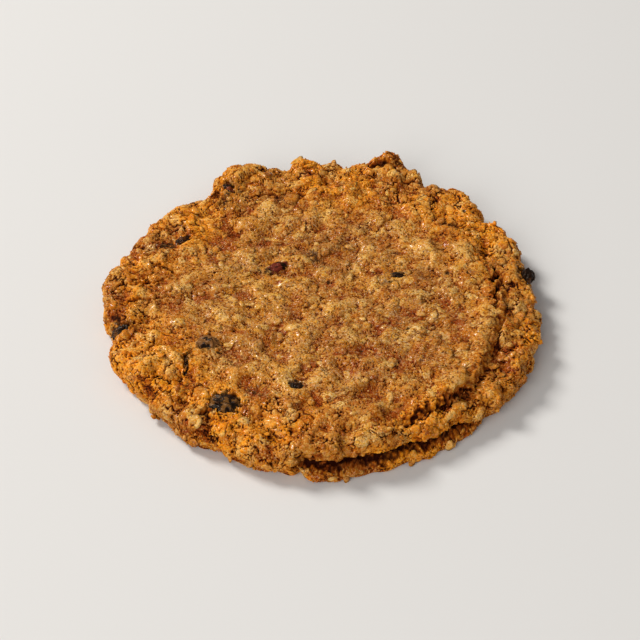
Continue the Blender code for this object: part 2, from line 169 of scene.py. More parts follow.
def turn_between(angle, middle):
    """Angle minus middle in degrees, wrapped into -180 to 180."""
    return (angle - middle + 180.0) % 360.0 - 180.0


def bearing(x, y):
    """Direction of places from the middle in degrees, from +x towards +y."""
    return np.degrees(np.arctan2(y, x))


def outline(angle):
    """Radius of the outline in a direction in degrees: a circle, its lobes and fine waves."""
    radius = np.full_like(angle, RADIUS)
    for middle, spread, out in LOBES.values():
        radius += out * np.exp(-(turn_between(angle, middle) / spread) ** 2)
    for turns, out in EDGE_WAVES:
        radius += out * np.sin(np.radians(angle) * turns + 0.7 * turns)
    return radius


def split_share(angle):
    """One along the front right side, where the crust has split from the foot, and zero elsewhere."""
    return smooth_step(turn_between(angle, -98.0) / 6.0) * smooth_step(turn_between(-42.0, angle) / 10.0)


def open_share(angle):
    """One along the right side, where the middle stands clear of the rim, and zero elsewhere."""
    return smooth_step(turn_between(angle, -72.0) / 12.0) * smooth_step(turn_between(30.0, angle) / 10.0)


def shelf_radius(angle):
    """Radius of the edge of the flatter middle, wider towards the front right."""
    wider = 5.0 * np.exp(-(turn_between(angle, 0.0) / 30.0) ** 2)
    widest = 8.5 * np.exp(-(turn_between(angle, -55.0) / 26.0) ** 2)
    return SHELF_RADIUS + wider + widest + 1.2 * np.sin(np.radians(angle) * 9.0 + 1.0)


def segment_distance(x, y, ax, ay, bx, by):
    """Distance from points to a straight line between two ends."""
    run_x, run_y = bx - ax, by - ay
    t = np.clip(((x - ax) * run_x + (y - ay) * run_y) / (run_x ** 2 + run_y ** 2), 0.0, 1.0)
    return np.hypot(x - ax - t * run_x, y - ay - t * run_y)


def uneven_swells():
    """Low seeded swells over the whole top: places, spreads and heights."""
    rng = np.random.default_rng(SEED)
    count = 260
    angle = rng.uniform(0.0, 2.0 * math.pi, count)
    radius = RADIUS * np.sqrt(rng.uniform(0.0, 1.0, count))
    on_rim = radius > SHELF_RADIUS
    spread = rng.uniform(3.0, 6.5, count)
    height = rng.normal(0.0, 1.0, count) * np.where(on_rim, RIM_SWELL, MIDDLE_SWELL)
    return radius * np.cos(angle), radius * np.sin(angle), spread, height


def crack_depth(x, y):
    """Depth of the cracks over the plan: a rounded groove along each one, its sides wandering."""
    wander_x = x + 0.9 * np.sin(0.61 * y + 1.3) + 0.5 * np.sin(1.37 * y)
    wander_y = y + 0.9 * np.sin(0.57 * x + 0.4) + 0.5 * np.sin(1.49 * x)
    depth = np.zeros_like(x)
    for ax, ay, bx, by, half_width, deep in CRACKS.values():
        away = segment_distance(wander_x, wander_y, ax, ay, bx, by) / half_width
        depth = np.maximum(depth, deep * np.exp(-away ** 2))
    return depth


def crust_height(x, y):
    """Height of the top crust: the middle's dish, the step down to the rim, lumps, cracks and swells."""
    angle = bearing(x, y)
    radius = np.hypot(x, y)
    shelf = shelf_radius(angle)
    height = MIDDLE_HEIGHT + MIDDLE_DISH * np.clip(radius / shelf, 0.0, 1.0) ** 2
    drop = SHELF_DROP + (OPEN_SHELF_DROP - SHELF_DROP) * open_share(angle)
    height -= drop * smooth_step((radius - shelf) / SHELF_SLOPE)
    for cx, cy, length, width, turn, rise in LUMPS.values():
        c, s = math.cos(math.radians(turn)), math.sin(math.radians(turn))
        along = ((x - cx) * c + (y - cy) * s) / length
        across = ((y - cy) * c - (x - cx) * s) / width
        height += rise * np.exp(-along ** 2 - across ** 2)
    for cx, cy, spread, rise in zip(*uneven_swells()):
        height += rise * np.exp(-((x - cx) ** 2 + (y - cy) ** 2) / spread ** 2)
    return height - crack_depth(x, y)


def side_profile(angle, border):
    """Insets and heights of the side's eight control points, from the top's border to the foot."""
    split = split_share(angle)
    whole = 1.0 - split
    back = LIP_SETBACK * split
    waist = 0.52 * border * whole + LIP_HEIGHT * split
    insets = (TOP_MARGIN + back, 1.7 + back, 0.4 + back, back, 0.3 + back + SPLIT_DEPTH * split,
              0.9 * whole + 0.3 * split, 1.8 * whole + 0.2 * split, 3.2 * whole + 1.6 * split)
    heights = (border, border - 1.3, border - 3.3, waist, 0.36 * border * whole + SPLIT_HEIGHT * split,
               3.0 * whole + FOOT_HEIGHT * split, 1.3 + 0.0 * border, 0.0 * border)
    return np.stack(insets), np.stack(heights)


def spline(points, t):
    """A smooth curve through the ends of its control points: a uniform cubic B-spline at t from 0 to 1."""
    spans = len(points) - 1
    ends = np.concatenate([[2.0 * points[0] - points[1]], points, [2.0 * points[-1] - points[-2]]])
    span = np.minimum((t * spans).astype(int), spans - 1)
    f = t * spans - span
    pick = np.arange(len(t))
    a, b, c, d = (ends[span + k, pick] for k in range(4))
    weights = ((1 - f) ** 3, 3 * f ** 3 - 6 * f ** 2 + 4, -3 * f ** 3 + 3 * f ** 2 + 3 * f + 1, f ** 3)
    return (weights[0] * a + weights[1] * b + weights[2] * c + weights[3] * d) / 6.0


def border_radius(angle):
    """Radius at which the top ends and the side begins."""
    return outline(angle) - TOP_MARGIN - LIP_SETBACK * split_share(angle)


def crust_reach(angle):
    """Length of the crust from the middle, over the top and down the side, to the floor."""
    return border_radius(angle) + SIDE_LENGTH + SPLIT_SIDE_LENGTH * split_share(angle)


def crust_form(x, y):
    """Places on the plain crust from an unrolled plan: x and y over the top, and on past its border
    down the side, as far as the length of the side's curve."""
    angle = bearing(x, y)
    length = np.hypot(x, y)
    turn = np.radians(angle)
    border = border_radius(angle)
    radius = np.minimum(length, border)
    height = crust_height(radius * np.cos(turn), radius * np.sin(turn))
    t = np.clip((length - border) / (crust_reach(angle) - border), 0.0, 1.0)
    insets, heights = side_profile(angle, height)
    on_side = length > border
    radius = np.where(on_side, outline(angle) - spline(insets, t), radius)
    height = np.where(on_side, spline(heights, t), height)
    return np.stack([radius * np.cos(turn), radius * np.sin(turn), height], -1)


def crust_normal(x, y, step=0.6):
    """Outward direction of the plain crust, from places a small step apart on the plan."""
    along_x = crust_form(x + step, y) - crust_form(x - step, y)
    along_y = crust_form(x, y + step) - crust_form(x, y - step)
    normal = np.cross(along_x, along_y)
    return normal / np.maximum(np.linalg.norm(normal, axis=-1, keepdims=True), 1e-9)


# The crust's crumb.
# Rolled oats and crumbly dough bake into flakes, nodules and pitted crust, with ragged creases between
# them. Their relief is worked out once, on a fine plan of the unrolled crust.
CELL = 0.2
PLAN_CELLS = 1200
SCATTER_REACH = 118.0
NOTHING_LAID = -9.0
BLOCK_CELL = 0.4
BLOCK_CELLS = 100
FOOT_FADE = 4.0

# Raisins: place and height of the middle, half sizes, then tilt about x, about y and turn in degrees.
RAISINS = {
    "front_left": ((-40.0, -67.0, 13.0), (7.0, 5.8, 3.4), (8.0, 0.0, -12.0)),
    "left_edge": ((-87.5, -20.5, 10.6), (4.8, 3.6, 3.0), (20.0, -30.0, 30.0)),
    "back_left": ((-43.6, 76.0, 13.6), (5.4, 2.7, 2.8), (35.0, 0.0, -62.0)),
    "left_hollow": ((-63.0, 37.5, 13.8), (4.4, 3.2, 2.8), (10.0, 15.0, 40.0)),
    "front_middle": ((-10.2, -56.8, 13.2), (4.2, 3.0, 2.6), (0.0, 8.0, -40.0)),
    "middle_left": ((-49.5, -31.5, 14.6), (5.4, 4.4, 2.6), (5.0, -6.0, 10.0)),
    "left_clump": ((-57.4, -42.5, 12.8), (7.4, 1.9, 2.6), (0.0, 0.0, 88.0)),
    "middle_right": ((35.6, 13.4, 13.6), (4.3, 2.7, 2.5), (0.0, 5.0, 10.0)),
    "right_edge": ((95.2, 17.6, 10.4), (3.5, 4.2, 2.9), (10.0, 30.0, 8.0)),
    "middle_red": ((-19.5, 20.0, 13.2), (5.2, 3.1, 2.5), (0.0, -6.0, 22.0)),
}


def band_noise(wavelength, rng, spread=0.3):
    """Smooth seeded noise whose waves are near one length: white noise whose spectrum is kept by how
    close the logarithm of each wave's length is. Its standard deviation is one."""
    along, across = np.fft.fftfreq(PLAN_CELLS, CELL)[:, None], np.fft.rfftfreq(PLAN_CELLS, CELL)
    waves = np.maximum(np.hypot(along, across) * wavelength, 1e-6)
    spectrum = np.fft.rfft2(rng.standard_normal((PLAN_CELLS, PLAN_CELLS)))
    plan = np.fft.irfft2(spectrum * np.exp(-0.5 * (np.log(waves) / spread) ** 2), (PLAN_CELLS, PLAN_CELLS))
    return plan / plan.std()


def soften(plan, spread):
    """The plan averaged over a round Gaussian spread in millimetres, by its Fourier transform."""
    along, across = np.fft.fftfreq(PLAN_CELLS, CELL)[:, None], np.fft.rfftfreq(PLAN_CELLS, CELL)
    keep = np.exp(-2.0 * (math.pi * spread) ** 2 * (along ** 2 + across ** 2))
    return np.fft.irfft2(np.fft.rfft2(plan) * keep, plan.shape)


def read_plan(plan, x, y):
    """The plan's value at places in millimetres, straight between the four cells around each."""
    column = np.clip(x / CELL + PLAN_CELLS / 2 - 0.5, 0.0, PLAN_CELLS - 1.001)
    row = np.clip(y / CELL + PLAN_CELLS / 2 - 0.5, 0.0, PLAN_CELLS - 1.001)
    c, r = column.astype(int), row.astype(int)
    fc, fr = column - c, row - r
    low = plan[r, c] * (1 - fc) + plan[r, c + 1] * fc
    high = plan[r + 1, c] * (1 - fc) + plan[r + 1, c + 1] * fc
    return low * (1 - fr) + high * fr


def open_crust(x, y):
    """Whether places are clear of raisins, cracks and the split, so that a loose bit can lie there."""
    return (raisin_distance(x, y) > 1.4) & (read_plan(calm, x, y) > 0.7)


def scatter(spacing, rng, margin=0.0):
    """Seeded places over the unrolled crust: a square grid, each point moved within its cell."""
    line = np.arange(-SCATTER_REACH, SCATTER_REACH, spacing)
    x, y = (g.ravel() for g in np.meshgrid(line, line))
    x = x + rng.uniform(-0.5, 0.5, x.size) * spacing
    y = y + rng.uniform(-0.5, 0.5, y.size) * spacing
    keep = np.hypot(x, y) < crust_reach(bearing(x, y)) - margin
    return x[keep], y[keep]


def lay_bits(x, y, long, wide, turn, crown, lift, lean, fullness, rng):
    """Height and number of the highest bit over each cell. A bit is an uneven oval: its lift, plus its
    crown times one minus the oval distance to a power, the fullness, plus a plane that leans it."""
    reach = int(np.ceil(1.15 * long.max() / CELL))
    window = np.arange(-reach, reach + 1)
    rows = np.floor(y / CELL + PLAN_CELLS / 2).astype(int)[:, None, None] + window[None, :, None]
    columns = np.floor(x / CELL + PLAN_CELLS / 2).astype(int)[:, None, None] + window[None, None, :]
    dx = (columns - PLAN_CELLS / 2 + 0.5) * CELL - x[:, None, None]
    dy = (rows - PLAN_CELLS / 2 + 0.5) * CELL - y[:, None, None]
    c, s = np.cos(turn)[:, None, None], np.sin(turn)[:, None, None]
    u = (dx * c + dy * s) / long[:, None, None]
    v = (dy * c - dx * s) / wide[:, None, None]
    around = np.arctan2(v, u)
    phase = rng.uniform(0.0, 2.0 * math.pi, (3, len(x), 1, 1))
    uneven = 1.0 + 0.10 * np.sin(2 * around + phase[0]) + 0.08 * np.sin(3 * around + phase[1])
    q = np.hypot(u, v) / (uneven + 0.05 * np.sin(5 * around + phase[2]))
    slope = rng.normal(0.0, lean, (2, len(x), 1, 1))
    height = lift[:, None, None] + crown[:, None, None] * (1.0 - q ** fullness) + slope[0] * u + slope[1] * v
    inside = (q < 1.0) & (rows >= 0) & (rows < PLAN_CELLS) & (columns >= 0) & (columns < PLAN_CELLS)
    cells = (rows * PLAN_CELLS + columns)[inside]
    heights = height[inside]
    numbers = np.broadcast_to(np.arange(len(x))[:, None, None], height.shape)[inside]
    order = np.argsort(heights)
    top = np.full(PLAN_CELLS ** 2, NOTHING_LAID)
    bit = np.full(PLAN_CELLS ** 2, -1)
    top[cells[order]] = heights[order]
    bit[cells[order]] = numbers[order]
    return top.reshape(PLAN_CELLS, PLAN_CELLS), bit.reshape(PLAN_CELLS, PLAN_CELLS)


def broken_cells(spacing, across, down, rng):
    """Crust broken into uneven pieces round seeded points, one to a square: at each place the number of
    the nearest point, the way from it in x and y, and how much farther away the next point is."""
    squares = int(PLAN_CELLS * CELL / spacing) + 4
    seeds = rng.uniform(0.05, 0.95, (2, squares, squares))
    u, v = across / spacing + squares / 2, down / spacing + squares / 2
    column, row = u.astype(int), v.astype(int)
    nearest, second = np.full(u.shape, 9.0), np.full(u.shape, 9.0)
    number, way_x, way_y = np.zeros(u.shape, int), np.zeros(u.shape), np.zeros(u.shape)
    for step_row, step_column in np.ndindex(3, 3):
        r = np.clip(row + step_row - 1, 0, squares - 1)
        c = np.clip(column + step_column - 1, 0, squares - 1)
        dx, dy = u - c - seeds[0, r, c], v - r - seeds[1, r, c]
        away = np.hypot(dx, dy)
        nearer = away < nearest
        second = np.where(nearer, nearest, np.minimum(second, away))
        nearest = np.where(nearer, away, nearest)
        number = np.where(nearer, r * squares + c, number)
        way_x, way_y = np.where(nearer, dx, way_x), np.where(nearer, dy, way_y)
    return number, way_x * spacing, way_y * spacing, (second - nearest) * spacing


def broken_plates(across, down, rng, spacing, rise, slope, crevice, half_width, apart):
    """Height and tone of crust broken into plates: each piece's own height and slope, less a crevice
    along its border, deep in some places and closed in others; apart is how much of it is open."""
    number, dx, dy, gap = broken_cells(spacing, across, down, rng)
    rises = rng.normal(0.0, rise, number.max() + 1)
    slopes = np.clip(rng.normal(0.0, slope, (2, number.max() + 1)), -1.6 * slope, 1.6 * slope)
    tones = rng.normal(0.0, 1.0, number.max() + 1)
    parted = np.exp(-(gap / half_width) ** 2) * smooth_step(apart + 0.8 * band_noise(spacing * 1.6, rng))
    height = rises[number] + slopes[0][number] * dx + slopes[1][number] * dy
    height = soften(height, 0.09 * spacing) - crevice * parted
    return height, tones[number] + 0.6 * rises[number] / rise, parted


def creases(wavelength, half_width, rng):
    """Ragged creases over the plan: one along the winding zero lines of smooth noise, less across
    them, and nothing where a second noise is low."""
    winding = band_noise(wavelength, rng) + 0.2 * band_noise(wavelength / 4.5, rng)
    slope = np.hypot(*np.gradient(winding, CELL))
    away = np.abs(winding) / np.maximum(slope, 0.5 * slope.mean()) / half_width
    return np.exp(-away ** 2) * smooth_step(band_noise(wavelength * 1.2, rng) * 1.1 + 0.3)


def rim_share(x, y):
    """One on the rim and side, zero on the flatter middle, with a soft and uneven change between."""
    angle = bearing(x, y)
    wander = 3.0 * np.sin(np.radians(angle) * 7.0 + 2.0) + 2.0 * np.sin(np.radians(angle) * 13.0)
    return smooth_step((np.hypot(x, y) - shelf_radius(angle) + 7.0 + wander) / 12.0)


def bake_share(x, y):
    """How brown the crust has baked: nothing over the middle, growing well inside the rim."""
    angle = bearing(x, y)
    wander = 4.0 * np.sin(np.radians(angle) * 5.0 + 1.0) + 2.5 * np.sin(np.radians(angle) * 11.0)
    return smooth_step((np.hypot(x, y) - shelf_radius(angle) + 26.0 + wander) / 32.0)


# How much of each raisin's oval the dough has left bare.
BARE = {
    "front_left": 0.98, "left_edge": 0.90, "back_left": 0.82, "left_hollow": 0.78, "front_middle": 0.74,
    "middle_left": 0.60, "left_clump": 0.62, "middle_right": 0.60, "right_edge": 1.30, "middle_red": 0.62,
}

# Stains that fruit has left in the dough: x, y, half length, half width, turn in degrees, strength.
STAINS = {
    "green": (-3.0, 27.0, 4.0, 6.0, 20.0, 0.75),
    "green foot": (1.0, 19.0, 3.0, 4.0, 0.0, 0.45),
    "red": (-24.0, 18.0, 6.0, 2.6, 10.0, 0.85),
    "left hollow": (-71.0, 34.0, 6.0, 4.0, 30.0, 0.9),
    "back left": (-45.0, 68.0, 3.0, 9.0, -12.0, 0.75),
    "right back": (64.0, 48.0, 9.0, 2.4, -18.0, 0.75),
    "middle left": (-49.0, -33.0, 6.5, 5.0, 0.0, 0.75),
    "front left": (-28.0, -60.0, 8.0, 1.6, -35.0, 0.6),
    "back": (-19.0, 68.0, 9.0, 1.6, 0.0, 0.6),
    "middle": (12.0, 36.0, 3.0, 8.0, 20.0, 0.4),
    "right": (31.0, 8.0, 5.0, 2.0, 10.0, 0.6),
    "left edge": (-90.0, -18.0, 5.0, 6.0, 0.0, 0.7),
}

# Patches of tone over the crust: above 0 golden, on lumps; below 0 brown, which in the grooves, hollows,
# creases, cracks and on the slope beside the middle is painted shade: x, y, half sizes, turn in degrees,
# tone.
PATCHES = {
    "right yellow lump": (66.0, 31.0, 7.0, 11.0, 0.0, 1.5),
    "left front clump": (-72.0, -44.0, 14.0, 7.0, 8.0, 1.2),
    "right clump": (77.0, -20.0, 7.0, 9.0, 0.0, 0.9),
    "back right": (52.0, 58.0, 9.0, 7.0, 0.0, 0.9),
    "back left lump": (-32.0, 88.0, 13.0, 6.0, 0.0, 0.8),
    "back left": (-22.0, 58.0, 7.0, 9.0, 0.0, 1.0),
    "left": (-76.0, 22.0, 9.0, 5.0, -20.0, 0.9),
    "front": (20.0, -84.0, 15.0, 5.0, 5.0, 0.7),
    "back lump": (33.0, 90.0, 6.0, 5.0, 0.0, 0.8),
    "back left groove": (-43.0, 52.0, 4.0, 14.0, 0.0, -1.8),
    "left hollow": (-69.0, 36.0, 8.0, 5.0, 30.0, -1.8),
    "left edge": (-90.0, -16.0, 5.0, 8.0, 0.0, -1.6),
    "left front rim": (-73.0, -57.0, 4.0, 8.0, 35.0, -1.5),
    "front left rim": (-50.0, -77.0, 7.0, 5.0, 0.0, -1.3),
    "right front slope": (75.0, -42.0, 5.0, 13.0, -25.0, -1.6),
    "back crease": (-4.0, 70.0, 16.0, 2.5, 0.0, -1.2),
    "right back": (62.0, 46.0, 11.0, 3.5, -18.0, -1.6),
    "front left smudge": (-24.0, -61.0, 11.0, 4.0, -28.0, -0.9),
    "middle smudge": (-4.0, -36.0, 16.0, 7.0, 10.0, -0.6),
    "middle back smudge": (-30.0, 30.0, 12.0, 8.0, 40.0, -0.7),
    "middle right smudge": (44.0, -34.0, 14.0, 6.0, 25.0, -0.6),
}

# Oat flakes that stand out: x, y, half length, half width, turn in degrees, crown, how pale.
OATS = (
    (47.5, -60.5, 3.7, 2.8, 80.0, 0.7, 0.9), (12.0, 91.0, 3.0, 2.0, 10.0, 0.7, 0.5),
    (34.5, 87.0, 3.6, 2.6, 70.0, 0.8, 0.7), (48.0, 67.0, 3.6, 1.8, 30.0, 0.8, 0.8),
    (-13.0, -21.0, 3.6, 2.4, -8.0, 0.7, 0.4), (-21.0, -1.0, 3.8, 2.7, 0.0, 0.9, 0.3),
    (-25.0, -20.0, 2.8, 2.1, 20.0, 0.7, 0.8), (-56.5, 22.5, 2.2, 2.0, 0.0, 0.6, 0.6),
    (-31.5, -77.0, 2.6, 2.1, 0.0, 0.7, 0.7), (-53.0, -74.0, 4.0, 2.1, -55.0, 0.8, 0.7),
    (-24.5, 62.0, 5.0, 3.3, 75.0, 0.9, 0.2), (57.0, -61.0, 3.8, 2.5, 25.0, 0.8, 0.3),
    (61.0, -64.0, 3.5, 2.2, -15.0, 0.8, 0.4), (21.0, -82.0, 4.5, 3.0, 40.0, 0.8, 0.3),
    (4.0, -63.5, 3.0, 2.2, 20.0, 0.7, 0.7), (-2.5, -54.0, 3.3, 2.5, 0.0, 0.7, 0.5),
    (26.5, -84.0, 4.3, 2.2, 22.0, 0.8, 0.4), (-73.0, -26.0, 3.5, 3.0, 60.0, 0.8, 0.3),
    (-50.0, -75.5, 4.0, 3.0, 20.0, 0.8, 0.4), (45.0, -23.0, 4.0, 1.4, -15.0, 0.7, 0.9),
    (38.0, -32.5, 2.8, 1.9, 50.0, 0.7, 0.5), (-62.5, -18.5, 3.0, 2.5, 60.0, 0.7, 0.4),
    (89.0, -6.0, 4.0, 3.5, 70.0, 0.8, 0.4),
)

# Dark specks of fruit: x, y and radius.
SPECKS = (
    (4.0, 10.0, 1.0), (58.0, 15.0, 1.2), (67.5, 14.0, 1.3), (38.0, 15.5, 1.0), (33.5, 15.0, 1.0),
    (-19.0, 66.0, 1.5), (-30.0, 66.0, 1.2), (68.0, 58.0, 1.1), (73.0, 58.0, 1.1), (30.0, 80.0, 1.4),
    (18.0, -34.0, 0.9), (38.5, -22.0, 1.2), (85.0, 51.0, 1.8), (-51.5, -34.5, 1.1), (-44.0, -37.0, 0.9),
    (-12.0, 28.0, 1.0),
)


def oval_distance(x, y, cx, cy, long, wide, turn):
    """Distance from the middle of a turned oval, as a share of it: one at its outline."""
    c, s = math.cos(math.radians(turn)), math.sin(math.radians(turn))
    return np.hypot(((x - cx) * c + (y - cy) * s) / long, ((y - cy) * c - (x - cx) * s) / wide)


def raisin_distance(x, y):
    """How far places are from the bare part of the nearest raisin, as a share of it."""
    nearest = np.full_like(x, 9.0)
    for name, ((cx, cy, _), (long, wide, _), (_, _, turn)) in RAISINS.items():
        away = oval_distance(x, y, cx, cy, long, wide, turn) / BARE[name]
        nearest = np.minimum(nearest, away)
    return nearest


# The plan's own cells, and how crumbly, cracked and calm the crust is at each.
rng = np.random.default_rng(SEED + 1)
line = (np.arange(PLAN_CELLS) - PLAN_CELLS / 2 + 0.5) * CELL
plan_x, plan_y = np.meshgrid(line, line)
rim_plan = rim_share(plan_x, plan_y)
crumbly = smooth_step(0.45 + 0.45 * band_noise(15.0, rng) + 0.3 * (rim_plan - 0.5))

angle_plan = bearing(plan_x, plan_y)
down_side = np.hypot(plan_x, plan_y) - border_radius(angle_plan)
in_split = split_share(angle_plan) * np.exp(-((down_side - 13.0) / 3.2) ** 2)
cracked = crack_depth(plan_x, plan_y)
calm = 1.0 - 0.75 * np.clip(smooth_step(cracked / 2.0) + in_split, 0.0, 1.0)

# Broad swells, and the crust broken into clumps, plates and grit of three sizes.
swells = 0.65 * band_noise(24.0, rng, 0.4) + (0.32 + 0.12 * rim_plan) * band_noise(11.0, rng)
edge = np.hypot(plan_x, plan_y) - shelf_radius(angle_plan)
open_edge = open_share(angle_plan) * np.exp(-((edge - 1.0) / 4.5) ** 2)
calm *= 1.0 - 0.45 * open_edge
across = plan_x + 1.1 * band_noise(5.5, rng) + 0.45 * band_noise(2.0, rng)
down = plan_y + 1.1 * band_noise(5.5, rng) + 0.45 * band_noise(2.0, rng)
clumps, clump_tone, clump_parted = broken_plates(
    across, down, rng, spacing=7.5, rise=0.42, slope=0.14, crevice=1.5, half_width=0.42, apart=0.45)
clump_share = 0.35 + 0.55 * rim_plan
across = plan_x + 0.5 * band_noise(2.6, rng) + 0.22 * band_noise(1.2, rng)
down = plan_y + 0.5 * band_noise(2.6, rng) + 0.22 * band_noise(1.2, rng)
plates, plate_tone, plate_parted = broken_plates(
    across, down, rng, spacing=3.4, rise=0.15, slope=0.11, crevice=0.7, half_width=0.26, apart=0.15)
grit, grit_tone, grit_parted = broken_plates(
    across, down, rng, spacing=1.4, rise=0.075, slope=0.15, crevice=0.2, half_width=0.18, apart=0.1)
grit = grit * (0.3 + 0.4 * crumbly) * (1.0 - 0.4 * rim_plan)
dough_level = clumps * clump_share + plates * (0.45 + 0.35 * rim_plan)

# Oats baked into the crust: seeded ones everywhere, then those of the list, the highest showing.
x, y = scatter(4.2, rng)
oats = np.array(OATS)
long = rng.uniform(1.8, 4.0, x.size)
wide = rng.uniform(0.4, 0.75, x.size)
pale = rng.uniform(0.15, 0.7, x.size)
pale *= rng.uniform(0.0, 1.0, x.size) < 0.14
turn = rng.uniform(0.0, math.pi, x.size)
crown = rng.uniform(0.12, 0.34, x.size)
lift = rng.normal(-0.1, 0.22, x.size)
flakes, flake_number = lay_bits(
    np.append(x, oats[:, 0]), np.append(y, oats[:, 1]), np.append(long, oats[:, 2]),
    np.append(long * wide, oats[:, 3]), np.append(turn, np.radians(oats[:, 4])),
    np.append(crown, oats[:, 5]), np.append(lift, np.full(len(oats), 0.1)), lean=0.2, fullness=4.0, rng=rng)
flakes += 0.8 * clumps * clump_share
flake_tone = np.concatenate([rng.normal(0.3, 0.7, x.size), np.full(len(oats), 1.2), [0.0]])[flake_number]
flake_pale = np.concatenate([pale, oats[:, 6], [0.0]])[flake_number]
flake_shows = smooth_step((flakes - dough_level) / 0.12)
flakes = 0.5 * (flakes + dough_level + np.sqrt((flakes - dough_level) ** 2 + 0.08 ** 2))

# Pores, creases, wrinkles and the grain of the crumb.
pores = smooth_step((band_noise(1.5, rng, 0.22) - 1.25) / 0.6) * smooth_step(0.3 + 0.7 * band_noise(9.0, rng))
pores *= 0.5 + 0.5 * crumbly
creased = creases(15.0, 0.5, rng) * (0.2 + 0.8 * rim_plan)
creased += 0.6 * creases(6.0, 0.35, rng) * (0.4 + 0.6 * rim_plan)
wrinkled = 0.24 * creases(2.8, 0.24, rng) + 0.10 * creases(1.7, 0.18, rng)
grain = (0.06 * band_noise(1.3, rng) + 0.07 * band_noise(0.85, rng)) * (0.7 + 0.7 * crumbly)

# The relief in millimetres: all of it together, less what is broad, cut back at raisins and cracks.
pads = np.zeros_like(plan_x)
for cx, cy, long, wide, turn, tone in PATCHES.values():
    away = oval_distance(plan_x, plan_y, cx, cy, long, wide, turn)
    pads = np.maximum(pads, 0.7 * tone * np.exp(-away ** 4))
rough = (1.0 - 0.6 * flake_shows) * (1.0 - 0.5 * pads)
relief_plan = swells + 0.8 * pads + calm * (flakes + rough * grit - creased)
relief_plan += rough * (grain - wrinkled) - 0.8 * pores
relief_plan -= soften(relief_plan, 12.0)
relief_plan -= 0.12 * cracked ** 1.5
relief_plan += 0.9 * open_share(angle_plan) * np.exp(-((edge + 4.0) / 4.0) ** 2)
relief_plan -= 0.5 * open_share(angle_plan) * np.exp(-((edge - 3.0) / 1.8) ** 2)
relief_plan = 2.2 * np.tanh(relief_plan / 2.2)
opening = raisin_distance(plan_x, plan_y) + 0.16 * band_noise(3.6, rng) + 0.08 * band_noise(1.5, rng)
relief_plan *= 0.3 + 0.7 * smooth_step((opening - 1.0) / 1.2)
relief_plan += 0.4 * np.exp(-((opening - 1.25) / 0.3) ** 2)
relief_plan -= 3.2 * smooth_step((1.0 - opening) / 0.10)

# What the dough's colour follows at each cell: how hollow it is, which is painted shade; its tone, golden or
# brown, which carries painted light and shade as well; and how pale and stained it is.
raised = relief_plan - soften(relief_plan, 2.2)
# Painted shade: darker below the crust's own softened level, in creases, wrinkles, pores and cracks, in the
# split, in the crevices between clumps, plates and grit, and in the step beside the middle.
hollow_shade_plan = 0.27 * (soften(relief_plan, 0.5) - relief_plan) / 0.2
hollow_shade_plan += 0.22 * (soften(relief_plan, 2.8) - relief_plan)
hollow_shade_plan += 0.6 * creased + rough * wrinkled + 0.8 * pores + 0.2 * cracked + 0.8 * in_split
hollow_shade_plan += 1.4 * clump_parted * clump_share + 0.8 * plate_parted + 0.2 * rough * grit_parted
hollow_shade_plan += 0.45 * open_share(angle_plan) * np.exp(-((edge - 2.6) / 1.6) ** 2)
hollow_shade_plan = np.clip(hollow_shade_plan, 0.0, 1.0)
tone_light_and_shade_plan = flake_shows * flake_tone + (1.0 - flake_shows) * (0.3 * plate_tone - 0.2)
# Painted light and shade: the tone is lighter on raised crumb and on the tops of swells, and darker in the
# lows between them.
tone_light_and_shade_plan += 0.2 * grit_tone + 0.35 * np.clip(raised / 0.5, -1.0, 1.0) + 0.3 * clump_tone
tone_light_and_shade_plan += 0.3 * np.clip(swells / 0.5, -1.5, 1.5) + 0.4 * band_noise(26.0, rng, 0.5)
# Darker down the side towards the foot: browned where it baked against the tray, and painted shade on the
# undercut side.
tone_light_and_shade_plan -= 0.9 * smooth_step((down_side - 9.0) / 6.0)
for cx, cy, long, wide, turn, tone in PATCHES.values():
    away = oval_distance(plan_x, plan_y, cx, cy, long, wide, turn)
    tone_light_and_shade_plan += tone * np.exp(-away ** 3)
pale_plan = flake_shows * flake_pale
stain_plan = 0.6 * smooth_step((1.3 - opening) / 0.35)
smudge = 1.0 + 0.35 * band_noise(3.0, rng)
for cx, cy, long, wide, turn, strength in STAINS.values():
    away = oval_distance(plan_x, plan_y, cx, cy, long, wide, turn)
    stain_plan = np.maximum(stain_plan, strength * np.clip(smudge, 0.2, 1.6) * np.exp(-away ** 2))
for cx, cy, radius in SPECKS:
    away = oval_distance(plan_x, plan_y, cx, cy, radius, 0.75 * radius, 20.0 * cx)
    stain_plan = np.maximum(stain_plan, smooth_step((1.25 - away * (0.8 + 0.2 * smudge)) / 0.4))
    relief_plan -= 0.5 * smooth_step((1.3 - away) / 0.6)
stain_plan = np.clip(stain_plan, 0.0, 1.0)


def wall_crumb(wavelength, rng):
    """A block of smooth seeded noise in depth as well, which repeats every side of the block."""
    sides = (BLOCK_CELLS,) * 3
    wave, last = np.fft.fftfreq(BLOCK_CELLS, BLOCK_CELL), np.fft.rfftfreq(BLOCK_CELLS, BLOCK_CELL)
    size = np.sqrt(wave[:, None, None] ** 2 + wave[None, :, None] ** 2 + last ** 2)
    keep = np.exp(-0.5 * (np.log(np.maximum(size * wavelength, 1e-6)) / 0.4) ** 2)
    block = np.fft.irfftn(np.fft.rfftn(rng.standard_normal(sides)) * keep, sides)
    return block / block.std()


wall_block = 0.42 * wall_crumb(4.0, rng) + 0.2 * wall_crumb(1.8, rng)


def read_block(points):
    """The block's value at places in millimetres, straight between the eight cells around each."""
    at = points / BLOCK_CELL
    low = np.floor(at).astype(int)
    share = at - low
    total = np.zeros(points.shape[:-1])
    for corner in np.ndindex(2, 2, 2):
        cell = (low + corner) % len(wall_block)
        weight = np.prod(np.where(np.array(corner) == 1, share, 1.0 - share), -1)
        total += weight * wall_block[cell[..., 0], cell[..., 1], cell[..., 2]]
    return total


